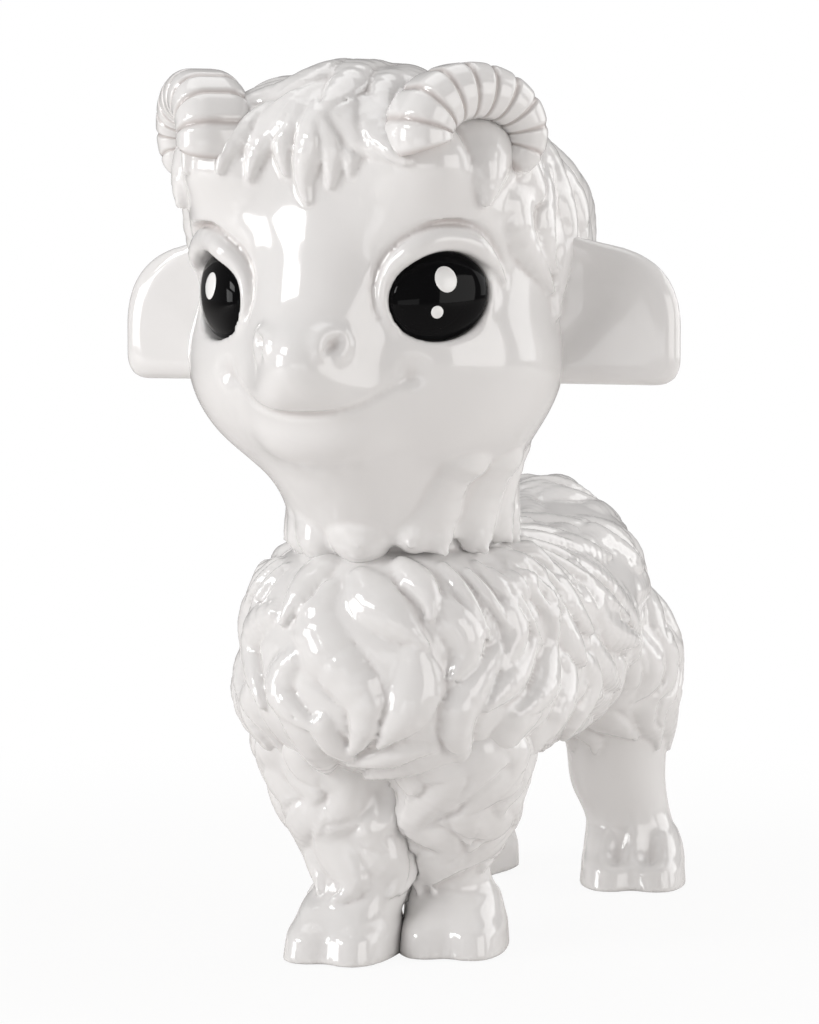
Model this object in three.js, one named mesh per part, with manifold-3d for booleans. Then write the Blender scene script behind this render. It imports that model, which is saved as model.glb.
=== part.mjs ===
// Goat figurine: a fleeced kid in glazed ceramic whose head turns on the neck.
// Millimetres, +Z up. The goat faces -Y and its left side is +X.
// The neck axis is x = 0, y = 0 while the pieces are made.

import * as THREE from "three";
import { mergeVertices } from "three/addons/utils/BufferGeometryUtils.js";
import Module from "manifold-3d";

const wasm = await Module();
wasm.setup();

// Fits between pieces
const GAP = 0.3;
const POCKET_DEPTH = 3;
const HEM_CLEARANCE = 0.6;
const SKIRT_CLEARANCE = 0.6;
const TURNING_CLEARANCE = 0.35;

// Walls of the two castings
const BODY_WALL = 6;
const HEAD_WALL = 8.5;

// Torso in three stations from chest to rump, with the shoulders round the neck
const TORSO_FRONT = -39;
const TORSO_REAR = 122;
const TORSO_PLAN_POWER = 2.4;
const TORSO_SIDE_POWER = 2.5;
const CHEST = { y: -4, halfWidth: 40.5, top: 102, bottom: 38 };
const WAIST = { y: 56, halfWidth: 38, top: 102, bottom: 43 };
const RUMP = { y: 98, halfWidth: 37, top: 109, bottom: 50 };
const SHOULDERS = { drop: 20.5, halfWidth: 35, halfDepth: 35.5, halfHeight: 20 };

// Wool: locks drawn by eye, and rows of locks where the photo shows none
const LOCK_BREADTH = 1.5;
const LOCK_FALL = 0.45;
const LOCK_OVERLAP = 1.75;
const LOCK_WIDENING = 1.25;
const LOCK_SWAY = 0.04;
const FLEECE_THICKNESS = 4.6;
const FLEECE_AXIS = 20;
const FLEECE_ROWS = 5;
const FLEECE_LOCKS_PER_ROW = 19;
const FLEECE_TOP_ANGLE = 0.62;
const FLEECE_BOTTOM_ANGLE = 2.05;
const FLEECE_SWEEP = 0.16;
const FLEECE_ROWS_FROM = 50;

// Neck joint
const SEAT_HEIGHT = 103.5;
const SPIGOT_RADIUS = 15;
const SPIGOT_BORE = 10.5;
const SPIGOT_LENGTH = 16;
const BUSH_WALL = 2.2;
const BUSH_FLANGE = 1.5;
const BUSH_FLANGE_RADIUS = 22.5;
const BUSH_LENGTH = 13;
const NECK_RADIUS = 26.5;
const SKIRT_RADIUS = 27.4;
const SKIRT_INNER_RADIUS = 24.2;
const SKIRT_DROP = 4;
const SKIRT_LOCKS = 12;
const SKIRT_HEIGHT = 15;
const SKIRT_SCALLOP = 3.5;
const SKIRT_LOCK_THICKNESS = 1.8;

// Head, placed from the neck seat and the neck axis
const HEAD_RISE = 58;
const HEAD_FORWARD = 12;
const HEAD_BLEND = 0.5;
const CRANIUM = { side: 0, forward: -8, rise: 10, halfWidth: 45, halfDepth: 52, halfHeight: 35 };
const JOWLS = { side: 0, forward: 4, rise: -18, halfWidth: 44, halfDepth: 44, halfHeight: 32 };
const MUZZLE = { side: 0, forward: 37.4, rise: -20, halfWidth: 19, halfDepth: 19, halfHeight: 17 };
const BRIDGE = { side: 0, forward: 35, rise: -6, halfWidth: 12, halfDepth: 12, halfHeight: 15 };
const CHIN = { side: 0, forward: 34, rise: -35, halfWidth: 14.5, halfDepth: 12, halfHeight: 10.5 };
const POLL = { side: 0, forward: 12, rise: 32.8, halfWidth: 18, halfDepth: 32, halfHeight: 18 };
const BROW = { side: 20, forward: 18, rise: 20, halfWidth: 17, halfDepth: 19, halfHeight: 17 };

// Wool cap on the head
const CAP_THICKNESS = 4.2;
const CAP_ROWS = 4;
const CAP_LOCKS_PER_ROW = 13;
const CAP_TOP_ANGLE = 0.35;
const CAP_BOTTOM_ANGLE = 1.5;
const CAP_HALF_SPREAD = 1.9;

// Eyes
const EYE_CENTRE = { side: 26.6, y: -44.2, rise: -3.7 };
const EYE_FACING = 0.72;
const EYE_HALF_WIDTH = 12.6;
const EYE_HALF_HEIGHT = 10.4;
const EYE_HALF_DEPTH = 4.4;
const EYE_TILT = 0.28;
const EYE_RIM = 2;
const EYE_RIM_INSET = 1.6;
const EYE_OPENING_DEPTH = 14;
const LID_RADIUS = 2.3;
const LID_HALF_SWEEP = 1.75;
const LID_LIFT = 1.2;
const LARGE_GLINT_RADIUS = 2.7;
const LARGE_GLINT_OUT = 1.4;
const LARGE_GLINT_UP = 3.6;
const SMALL_GLINT_RADIUS = 1.5;
const SMALL_GLINT_OUT = -2.6;
const SMALL_GLINT_UP = -2.8;
const GLINT_DEPTH = 1.1;
const GLINT_PROUD = 0.15;

// Smile and nostrils, cut in the face
const SMILE_RADIUS = 0.9;
const SMILE_HALF_ANGLE = 0.54;
const SMILE_POLAR_ANGLE = 2.138;
const SMILE_LIFT = 0.113;
const NOSTRIL_SIDE_ANGLE = 0.186;
const NOSTRIL_POLAR_ANGLE = 1.848;
const NOSTRIL_LENGTH = 2.6;
const NOSTRIL_RADIUS = 1.3;

// Horns: a ribbed bar with a rounded oblong section, curled on an oval in an upright plane
const HORN_PLANE_ANGLE = 0.84;
const HORN_CENTRE = { side: 33.5, y: -41, rise: 31.7 };
const HORN_ARC_RADIUS = 11.4;
const HORN_ARC_STRETCH = { level: 1.17, upright: 0.9 };
const HORN_START_ANGLE = 4.2;
const HORN_END_ANGLE = -0.7;
const HORN_HALF_HEIGHT = 6.8;
const HORN_HALF_WIDTH = 9;
const HORN_SECTION_POWER = 3;
const HORN_TIP_SHARE = 0.5;
const HORN_TAPER_POWER = 2.2;
const HORN_RIBS = 12;
const HORN_RIB_SHARE = 0.1;

// Ears
const EAR_ROOT = { side: 36, y: -8, rise: -6.5 };
const EAR_LENGTH = 35;
const EAR_BACK_ANGLE = 0.12;
const EAR_DROP = 4;
const EAR_ROOT_HALF_HEIGHT = 20;
const EAR_TIP_HALF_HEIGHT = 13.5;
const EAR_HALF_THICKNESS = 4;
const EAR_CUP = 2.6;
const EAR_CORNER_POWER = 3.2;

// Legs: stations from the sole up, placed from the hoof and leaning in to the seat
const FRONT_HOOF = { side: 11.6, y: 0, stagger: 8 };
const FRONT_SEAT_Y = -8;
const REAR_HOOF = { side: 24.5, y: 105 };
const HOOF_HALF_WIDTH = 13.4;
const HOOF_HALF_LENGTH = 15.5;
const HOOF_HEIGHT = 11;
const LEAN_END = 52;
const FRONT_YAW = { left: 0.3, right: 0.06 };
const REAR_YAW = { left: 0.3, right: -0.2 };
const CLEFT_WIDTH = 2.4;
const CLEFT_DEPTH = 9;
const CLEFT_HEIGHT = 9;
const SOLE = { height: 0, outward: 0, aft: 0, halfWidth: HOOF_HALF_WIDTH, halfLength: HOOF_HALF_LENGTH };
const FRONT_LEG = [
  SOLE,
  { height: HOOF_HEIGHT, outward: -1.1, aft: 2, halfWidth: 11.8, halfLength: 13 },
  { height: 19, outward: -4, aft: 3, halfWidth: 11.2, halfLength: 10.2 },
  { height: 27, outward: -2.6, aft: 3, halfWidth: 12.6, halfLength: 11.8 },
  { height: 39, outward: 1.5, aft: 3, halfWidth: 17, halfLength: 16.4 },
  { height: 51, outward: 4.4, aft: 2, halfWidth: 19.6, halfLength: 19.4 },
  { height: 63, outward: 2.5, aft: 2, halfWidth: 15, halfLength: 15 },
];
const REAR_LEG = [
  SOLE,
  { height: HOOF_HEIGHT, outward: -0.5, aft: 2, halfWidth: 11.4, halfLength: 12.6 },
  { height: 17, outward: -1, aft: 3, halfWidth: 10, halfLength: 10.2 },
  { height: 27, outward: -1.9, aft: 3, halfWidth: 10.8, halfLength: 12 },
  { height: 39, outward: -2.9, aft: -0.5, halfWidth: 14.4, halfLength: 17 },
  { height: 53, outward: -4.1, aft: -7.3, halfWidth: 17.8, halfLength: 23 },
  { height: 67, outward: -4.9, aft: -11, halfWidth: 19, halfLength: 25.6 },
  { height: 84, outward: -8, aft: -12, halfWidth: 13, halfLength: 17 },
];

// Tail
const TAIL_ROOT_HEIGHT = 92;
const TAIL_LENGTH = 21.4;
const TAIL_RADIUS = 6.5;

// Mesh fineness
const TORSO_MESH = { around: 68, along: 34 };
const HEAD_MESH = { around: 56, along: 32 };
const INNER_AROUND = 16;
const INNER_ALONG = 10;
const ROUND_SIDES = 32;
const LIMB_SIDES = 16;
const LIMB_SECTIONS = 11;
const SKIRT_FACETS = 4;
const RIB_FACETS = 2;
const HORN_SIDES = 12;
const EYE_SIDES = 18;
const EYE_RINGS = 9;
const GLINT_SIDES = 12;

// Colours and finishes
const WHITE_GLAZE = { color: 0xe9e6e3, roughness: 0.12, metalness: 0 };
const BLACK_GLAZE = { color: 0x080808, roughness: 0.08, metalness: 0 };
const GLINT_GLAZE = { color: 0xf6f6f4, roughness: 0.12, metalness: 0 };
const CORK = { color: 0xb78b58, roughness: 0.85, metalness: 0 };

// Heights worked out from the neck seat
const HEM_HEIGHT = SEAT_HEIGHT - SKIRT_DROP;
const FLANGE_TOP = SEAT_HEIGHT + GAP + BUSH_FLANGE;
const HEAD_UNDERSIDE = FLANGE_TOP + GAP;
const SPIGOT_TOP = SEAT_HEIGHT + SPIGOT_LENGTH;
const BUSH_INNER = SPIGOT_RADIUS + TURNING_CLEARANCE;
const BUSH_OUTER = BUSH_INNER + BUSH_WALL;
const HEAD_BORE = BUSH_OUTER + GAP;
const HEAD_CENTRE = new THREE.Vector3(0, -HEAD_FORWARD, SEAT_HEIGHT + HEAD_RISE);
const UPWARD = new THREE.Vector3(0, 0, 1);
const LEFT = 1;
const RIGHT = -1;

// Locks: start and end in degrees round the form and a measure down it, half width in millimetres,
// then the sideways bow and swing in degrees. On the torso the measure is a height in millimetres,
// on the head it is degrees from the crown.
const strand = (start, end, halfWidth, bow = 0, swing = 0) => ({ start, end, halfWidth, bow, swing });
const mirrored = (lock) => ({
  ...lock, start: [-lock.start[0], lock.start[1]], end: [-lock.end[0], lock.end[1]],
  bow: -lock.bow, swing: -lock.swing });

const CHEST_LOCKS = [
  strand([-6, 90], [0, 52], 5.8, 5, -5), strand([3, 93], [20, 78], 5.2), strand([13, 96], [21, 84], 3.8, 3),
  strand([25, 86], [26, 70], 4.6, 5), strand([18, 75], [9, 55], 5.4, 4), strand([41, 76], [33, 47], 4.4, -9),
  strand([21, 53], [-1, 50], 3.6), strand([29, 52], [0, 46], 3.6), strand([-21, 84], [-22, 62], 4.4, -11, -3),
  strand([-12, 74], [-5, 58], 4.2, -8), strand([-4, 60], [1, 51], 3.6, -3), strand([-10, 97], [-15, 82], 4.4),
];
const FLANK_LOCKS = [
  strand([52, 76], [35, 63], 4.4), strand([55, 64], [46, 46], 4.6, -7), strand([35, 96], [24, 80], 4.4, 4),
  strand([43, 86], [40, 72], 4.2, 4), strand([30, 96], [32, 84], 4.0, 2), strand([64, 75], [45, 61], 4.4, 5),
  strand([74, 71], [70, 50], 4.4, -2, 5), strand([97, 68], [102, 50], 4.4, 3, 5),
  strand([66, 56], [56, 47], 4.2, -3), strand([43, 90], [67, 92], 3.8), strand([48, 97], [66, 91], 3.8),
  strand([70, 99], [79, 92], 3.8), strand([109, 91], [134, 76], 4.2, -6), strand([82, 92], [97, 76], 4.2, -6),
  strand([111, 81], [144, 69], 4.2, -6), strand([64, 89], [64, 77], 4.2), strand([74, 81], [89, 69], 4.2, -2),
  strand([104, 72], [135, 59], 4.2, -3),
];
const BODY_LOCKS = [...CHEST_LOCKS, ...FLANK_LOCKS, ...FLANK_LOCKS.map(mirrored)];
const FORELOCKS = [
  strand([2, 44], [-1, 70], 5.2, -5), strand([9, 46], [9, 65], 3.4), strand([19, 52], [15, 63], 2.8),
  strand([-17, 50], [-34, 64], 2.9), strand([-14, 55], [-23, 66], 2.9),
  strand([10, 30], [-32, 53], 4.8, 0, -5), strand([30, 20], [15, 50], 4.2, -6),
  strand([44, 22], [22, 49], 4.2, -9),
];
const TEMPLE_LOCKS = [
  strand([19, 48], [31, 65], 3.6), strand([40, 57], [50, 70], 3.6), strand([48, 46], [58, 72], 4.8),
  strand([75, 54], [62, 73], 3.2), strand([78, 60], [66, 86], 3.5, -9), strand([86, 63], [72, 90], 3.6, -2),
  strand([95, 68], [85, 99], 3.7), strand([103, 53], [93, 81], 3.6, 4), strand([50, 45], [40, 64], 3.4, -3),
];
const HEAD_LOCKS = [...FORELOCKS, ...TEMPLE_LOCKS, ...TEMPLE_LOCKS.map(mirrored)];

// Solids
function solid(geometry) {
  const bare = geometry.clone();
  bare.deleteAttribute("normal");
  bare.deleteAttribute("uv");
  const merged = mergeVertices(bare, 1e-4);
  const vertProperties = new Float32Array(merged.getAttribute("position").array);
  const triVerts = new Uint32Array(merged.index.array);
  const body = new wasm.Manifold(new wasm.Mesh({ numProp: 3, vertProperties, triVerts }));
  if (body.volume() >= 0) {
    return body;
  }
  for (let i = 0; i < triVerts.length; i += 3) {
    [triVerts[i], triVerts[i + 1]] = [triVerts[i + 1], triVerts[i]];
  }
  return new wasm.Manifold(new wasm.Mesh({ numProp: 3, vertProperties, triVerts }));
}

function largestBody(body) {
  const bodies = body.decompose();
  return bodies.reduce((best, next) => (next.volume() > best.volume() ? next : best));
}

function mesh(name, body, finish) {
  const data = body.getMesh();
  const geometry = new THREE.BufferGeometry();
  geometry.setAttribute("position", new THREE.BufferAttribute(data.vertProperties, 3));
  geometry.setIndex(new THREE.BufferAttribute(data.triVerts, 1));
  geometry.computeVertexNormals();
  const piece = new THREE.Mesh(geometry, new THREE.MeshStandardMaterial(finish));
  piece.name = name;
  return piece;
}

// A closed skin: place(turn, run) gives the point at an angle around and a share along
function skin(around, along, place) {
  const geometry = new THREE.SphereGeometry(1, around, along);
  const position = geometry.getAttribute("position");
  const uv = geometry.getAttribute("uv");
  for (let i = 0; i < position.count; i += 1) {
    const run = Math.round((1 - uv.getY(i)) * along) / along;
    const turn = 2 * Math.PI * Math.round(uv.getX(i) * around) / around;
    const point = place(turn, run);
    position.setXYZ(i, point.x, point.y, point.z);
  }
  return solid(geometry);
}

function turned(profile) {
  const points = profile.map(([radius, height]) => new THREE.Vector2(radius, height));
  const geometry = new THREE.LatheGeometry(points, ROUND_SIDES);
  geometry.rotateX(Math.PI / 2);
  return solid(geometry);
}

function disc(radius, bottom, top) {
  return turned([[0, bottom], [radius, bottom], [radius, top], [0, top]]);
}

function power(value, exponent) {
  return Math.sign(value) * Math.abs(value) ** exponent;
}

function smooth(share) {
  const s = THREE.MathUtils.clamp(share, 0, 1);
  return s * s * (3 - 2 * s);
}

// Torso: a superellipsoid whose width, top and bottom change from chest to rump
function torsoSize(y, key) {
  if (y < WAIST.y) {
    const share = smooth((y - CHEST.y) / (WAIST.y - CHEST.y));
    return THREE.MathUtils.lerp(CHEST[key], WAIST[key], share);
  }
  const share = smooth((y - WAIST.y) / (RUMP.y - WAIST.y));
  return THREE.MathUtils.lerp(WAIST[key], RUMP[key], share);
}

function torsoPoint(azimuth, polar, grow = 0) {
  const ring = power(Math.sin(polar), 2 / TORSO_SIDE_POWER);
  const lift = power(Math.cos(polar), 2 / TORSO_SIDE_POWER);
  const halfLength = (TORSO_REAR - TORSO_FRONT) / 2 + grow;
  const middle = (TORSO_REAR + TORSO_FRONT) / 2;
  const y = middle + halfLength * ring * power(Math.sin(azimuth), 2 / TORSO_PLAN_POWER);
  const halfWidth = torsoSize(y, "halfWidth") + grow;
  const x = halfWidth * ring * power(Math.cos(azimuth), 2 / TORSO_PLAN_POWER);
  const top = torsoSize(y, "top") + grow;
  const bottom = torsoSize(y, "bottom") - grow;
  const z = (top + bottom) / 2 + lift * (top - bottom) / 2;
  return new THREE.Vector3(x, y, z);
}

// Head: rays from the head centre reach the softly blended outline of its masses
function massReach(mass, direction, grow) {
  const half = new THREE.Vector3(mass.halfWidth, mass.halfDepth, mass.halfHeight).addScalar(grow);
  const start = new THREE.Vector3(-mass.side, mass.forward, -mass.rise).divide(half);
  const way = direction.clone().divide(half);
  const a = way.dot(way);
  const b = start.dot(way);
  const inside = b * b - a * (start.dot(start) - 1);
  return inside > 0 ? (Math.sqrt(inside) - b) / a : 0;
}

function headPoint(azimuth, polar, grow = 0) {
  const ring = Math.sin(polar);
  const direction = new THREE.Vector3(
    ring * Math.cos(azimuth), ring * Math.sin(azimuth), Math.cos(polar));
  const masses = [CRANIUM, JOWLS, MUZZLE, BRIDGE, CHIN, POLL, BROW, { ...BROW, side: -BROW.side }];
  const sum = masses.reduce(
    (total, mass) => total + Math.exp(HEAD_BLEND * massReach(mass, direction, grow)), 0);
  return HEAD_CENTRE.clone().addScaledVector(direction, Math.log(sum) / HEAD_BLEND);
}

function bulk(surface, grow) {
  return skin(INNER_AROUND, INNER_ALONG, (turn, run) => surface(turn, Math.PI * run, grow));
}

function outwardNormal(surface, azimuth, polar) {
  const step = 0.02;
  const across = surface(azimuth + step, polar).sub(surface(azimuth - step, polar));
  const down = surface(azimuth, polar + step).sub(surface(azimuth, polar - step));
  return down.cross(across).normalize();
}

// Relief of locks drawn by eye at a place round and down a form, with the millimetres in a unit of each
function strandRelief(turn, down, perTurn, perDown, strands) {
  let relief = 0;
  for (const { start, end, halfWidth, bow, swing } of strands) {
    const line = new THREE.Vector2((end[0] - start[0]) * perTurn, (end[1] - start[1]) * perDown);
    const place = new THREE.Vector2((turn - start[0]) * perTurn, (down - start[1]) * perDown);
    const s = place.dot(line) / line.lengthSq();
    if (s <= 0 || s >= 1) {
      continue;
    }
    const sideways = (bow * Math.sin(Math.PI * s) + swing * Math.sin(2 * Math.PI * s)) * perTurn;
    const away = place.addScaledVector(line, -s).length() * Math.sign(place.x) - sideways;
    const taper = Math.min(1, 0.55 + 1.5 * s) * (1 - s ** 2.2) ** 0.8;
    const across = away / (LOCK_BREADTH * halfWidth * taper);
    if (Math.abs(across) < 1) {
      relief = Math.max(relief, (1 - across ** 2) * (1 - LOCK_FALL * s ** 3));
    }
  }
  return relief;
}

// Relief of overlapping wool locks, from 0 between them to 1 on a lock's back
function lockRelief(azimuth, polar, locks) {
  let relief = 0;
  for (const lock of locks) {
    const s = (polar - lock.root) / lock.length;
    if (s <= 0 || s >= 1) {
      continue;
    }
    const centre = lock.azimuth + lock.sweep * s + lock.sway * Math.sin(2 * Math.PI * s);
    const turns = (azimuth - centre) / (2 * Math.PI);
    const away = 2 * Math.PI * (turns - Math.round(turns));
    const taper = Math.sin(Math.PI * s ** 0.75) ** 0.7;
    const across = away / (lock.halfSpread * taper);
    if (Math.abs(across) < 1) {
      const rise = Math.min(1, 0.35 + s);
      relief = Math.max(relief, rise * Math.sqrt(1 - across * across) * Math.min(1, 5 * (1 - s)));
    }
  }
  return relief;
}

// Staggered rows of locks between two polar angles
function lockRows({ rows, perRow, top, bottom, from, spread, sweep }) {
  const pitch = (bottom - top) / rows;
  const locks = [];
  for (let row = 0; row < rows; row += 1) {
    for (let i = 0; i < perRow; i += 1) {
      const azimuth = from + spread * (i + (row % 2) / 2) / perRow;
      locks.push({
        azimuth,
        root: top + row * pitch,
        length: LOCK_OVERLAP * pitch,
        halfSpread: LOCK_WIDENING * spread / perRow / 2,
        sweep: sweep * Math.cos(azimuth),
        sway: LOCK_SWAY * (i % 2 ? 1 : -1),
      });
    }
  }
  return locks;
}

const FLEECE = lockRows({
  rows: FLEECE_ROWS, perRow: FLEECE_LOCKS_PER_ROW, top: FLEECE_TOP_ANGLE,
  bottom: FLEECE_BOTTOM_ANGLE, from: 0, spread: 2 * Math.PI, sweep: FLEECE_SWEEP });

const CAP = lockRows({
  rows: CAP_ROWS, perRow: CAP_LOCKS_PER_ROW, top: CAP_TOP_ANGLE, bottom: CAP_BOTTOM_ANGLE,
  from: Math.PI / 2 - CAP_HALF_SPREAD, spread: 2 * CAP_HALF_SPREAD, sweep: 0 });

// Mean of a relief over the middle half of the patch that one mesh point stands for
function softened(relief, turn, polar, { around, along }) {
  const aside = Math.PI / 2 / around;
  const down = Math.PI / 4 / along;
  const corners = [[-1, -1], [1, -1], [-1, 1], [1, 1]];
  const sum = corners.reduce((total, [x, y]) => total + relief(turn + x * aside, polar + y * down), 0);
  return sum / corners.length;
}

function fleeceRelief(turn, polar) {
  const bare = torsoPoint(turn, polar);
  const forward = FLEECE_AXIS - bare.y;
  const perTurn = THREE.MathUtils.DEG2RAD * Math.hypot(bare.x, forward);
  const round = THREE.MathUtils.RAD2DEG * Math.atan2(bare.x, forward);
  const drawn = strandRelief(round, bare.z, perTurn, 1, BODY_LOCKS);
  const rows = bare.y > FLEECE_ROWS_FROM ? lockRelief(turn, polar, FLEECE) : 0;
  return Math.max(drawn, rows);
}

function woollyTorso() {
  return skin(TORSO_MESH.around, TORSO_MESH.along, (turn, run) => {
    const polar = Math.PI * run;
    return torsoPoint(turn, polar, FLEECE_THICKNESS * softened(fleeceRelief, turn, polar, TORSO_MESH));
  });
}

function shoulderForm() {
  const size = SHOULDERS;
  return skin(INNER_AROUND, INNER_ALONG, (turn, run) => {
    const ring = Math.sin(Math.PI * run);
    const rise = size.halfHeight * Math.cos(Math.PI * run) - size.drop;
    return new THREE.Vector3(
      size.halfWidth * ring * Math.cos(turn), size.halfDepth * ring * Math.sin(turn), SEAT_HEIGHT + rise);
  });
}

function capRelief(turn, polar) {
  const perDown = THREE.MathUtils.DEG2RAD * headPoint(turn, polar).distanceTo(HEAD_CENTRE);
  const round = THREE.MathUtils.RAD2DEG * Math.atan2(Math.cos(turn), -Math.sin(turn));
  const down = THREE.MathUtils.RAD2DEG * polar;
  const drawn = strandRelief(round, down, perDown * Math.sin(polar), perDown, HEAD_LOCKS);
  return Math.max(drawn, lockRelief(turn, polar, CAP));
}

function woollyHead() {
  return skin(HEAD_MESH.around, HEAD_MESH.along, (turn, run) => {
    const polar = Math.PI * run;
    return headPoint(turn, polar, CAP_THICKNESS * softened(capRelief, turn, polar, HEAD_MESH));
  });
}

// Neck with a scalloped wool skirt at its foot
function skirtedNeck() {
  const top = HEAD_CENTRE.z - CHIN.halfHeight;
  const rings = 7;
  return skin(SKIRT_FACETS * SKIRT_LOCKS, rings, (turn, run) => {
    const ring = Math.round(run * rings);
    const scallop = Math.abs(Math.cos(SKIRT_LOCKS * turn / 2)) ** 0.6;
    const hem = HEM_HEIGHT + SKIRT_SCALLOP * (1 - scallop);
    if (ring === 0 || ring === rings) {
      return new THREE.Vector3(0, 0, ring === 0 ? top : HEM_HEIGHT);
    }
    const share = ring === 1 ? 0 : (ring - 2) / (rings - 3);
    const skirtTop = HEM_HEIGHT + SKIRT_HEIGHT;
    const z = ring === 1 ? top : THREE.MathUtils.lerp(skirtTop, hem, share);
    const flare = (SKIRT_RADIUS - NECK_RADIUS) * smooth(share);
    const radius = NECK_RADIUS + flare + SKIRT_LOCK_THICKNESS * scallop * Math.sin(Math.PI * share * 0.8);
    return new THREE.Vector3(radius * Math.cos(turn), radius * Math.sin(turn), z);
  });
}

// Legs: smooth sections between stations, with a flat sole and a cleft between the toes
function limb({ stations, side, x, y, seatY, yaw }, grow) {
  const heights = stations.map((station) => station.height);
  const sizes = stations.flatMap((station) => [
    station.outward, station.aft, station.halfWidth, station.halfLength]);
  const between = new THREE.CubicInterpolant(heights, sizes, 4);
  return skin(LIMB_SIDES, LIMB_SECTIONS, (turn, run) => {
    const share = THREE.MathUtils.clamp((run * LIMB_SECTIONS - 1) / (LIMB_SECTIONS - 2), 0, 1);
    const z = heights.at(-1) * share;
    const [outward, aft, halfWidth, halfLength] = between.evaluate(z);
    const lean = smooth((z - HOOF_HEIGHT) / (LEAN_END - HOOF_HEIGHT));
    const open = run === 0 || run === 1 ? 0 : 1;
    const section = new THREE.Vector3(
      open * (halfWidth + grow) * Math.cos(turn), open * (halfLength + grow) * Math.sin(turn), z);
    section.applyAxisAngle(UPWARD, yaw * (1 - lean));
    return section.add(new THREE.Vector3(x + side * outward, y + aft + lean * (seatY - y), 0));
  });
}

function cleft(x, y, yaw) {
  const outline = new THREE.Shape();
  outline.moveTo(-CLEFT_WIDTH / 2, -CLEFT_DEPTH);
  outline.lineTo(CLEFT_WIDTH / 2, -CLEFT_DEPTH);
  outline.lineTo(0, CLEFT_DEPTH);
  outline.closePath();
  const geometry = new THREE.ExtrudeGeometry(outline, {
    depth: CLEFT_HEIGHT + 1, bevelEnabled: false });
  geometry.translate(0, -HOOF_HALF_LENGTH, -1);
  geometry.rotateZ(yaw);
  geometry.translate(x, y, 0);
  return solid(geometry);
}

// The front legs meet in a crease on the middle plane
function farHalf(side, grow) {
  const size = 4 * LEAN_END;
  const geometry = new THREE.BoxGeometry(size, size, size);
  geometry.translate(side * (GAP / 2 - grow - size / 2), 0, 0);
  return solid(geometry);
}

function frontLeg(side, grow) {
  const x = side * FRONT_HOOF.side;
  const y = FRONT_HOOF.y + side * FRONT_HOOF.stagger;
  const yaw = side === LEFT ? FRONT_YAW.left : FRONT_YAW.right;
  const leg = limb({ stations: FRONT_LEG, side, x, y, seatY: FRONT_SEAT_Y, yaw }, grow);
  return leg.subtract(farHalf(side, grow)).subtract(cleft(x, y, yaw));
}

function rearLeg(side, grow) {
  const x = side * REAR_HOOF.side;
  const y = REAR_HOOF.y;
  const yaw = side === LEFT ? REAR_YAW.left : REAR_YAW.right;
  return limb({ stations: REAR_LEG, side, x, y, seatY: y, yaw }, grow).subtract(cleft(x, y, yaw));
}

function tailForm(grow) {
  return skin(LIMB_SIDES, LIMB_SECTIONS, (turn, run) => {
    const bend = 1.1 * run;
    const radius = (TAIL_RADIUS + grow) * Math.sin(Math.PI * run ** 0.7) ** 0.6;
    const rootY = TORSO_REAR - TAIL_RADIUS;
    const y = rootY + TAIL_LENGTH * 0.75 * Math.sin(bend) + radius * Math.sin(turn) * 0.7;
    const z = TAIL_ROOT_HEIGHT + TAIL_LENGTH * (1 - Math.cos(bend)) - radius * Math.sin(turn) * 0.6;
    return new THREE.Vector3(radius * Math.cos(turn), y, z);
  });
}

// Horn: ribbed sections along the curl, thinning to the tip
function hornForm(side, grow) {
  const level = new THREE.Vector3(
    side * Math.cos(HORN_PLANE_ANGLE), Math.sin(HORN_PLANE_ANGLE), 0);
  const across = new THREE.Vector3().crossVectors(level, UPWARD);
  const centre = new THREE.Vector3(
    side * HORN_CENTRE.side, HORN_CENTRE.y, HEAD_CENTRE.z + HORN_CENTRE.rise);
  const stretch = HORN_ARC_STRETCH;
  const rounding = 2 / HORN_SECTION_POWER;
  return skin(HORN_SIDES, RIB_FACETS * HORN_RIBS, (turn, run) => {
    const angle = THREE.MathUtils.lerp(HORN_START_ANGLE, HORN_END_ANGLE, run);
    const groove = Math.abs(Math.cos(Math.PI * HORN_RIBS * run)) ** 4;
    const taper = 1 - (1 - HORN_TIP_SHARE) * run ** HORN_TAPER_POWER;
    const size = taper * (1 - HORN_RIB_SHARE * groove);
    const open = run === 0 || run === 1 ? 0 : 1;
    const outward = level.clone().multiplyScalar(Math.cos(angle) / stretch.level);
    outward.addScaledVector(UPWARD, Math.sin(angle) / stretch.upright).normalize();
    return centre.clone()
      .addScaledVector(level, HORN_ARC_RADIUS * stretch.level * Math.cos(angle))
      .addScaledVector(UPWARD, HORN_ARC_RADIUS * stretch.upright * Math.sin(angle))
      .addScaledVector(outward, open * (HORN_HALF_HEIGHT * size + grow) * power(Math.cos(turn), rounding))
      .addScaledVector(across, open * (HORN_HALF_WIDTH * size + grow) * power(Math.sin(turn), rounding));
  });
}

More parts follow.
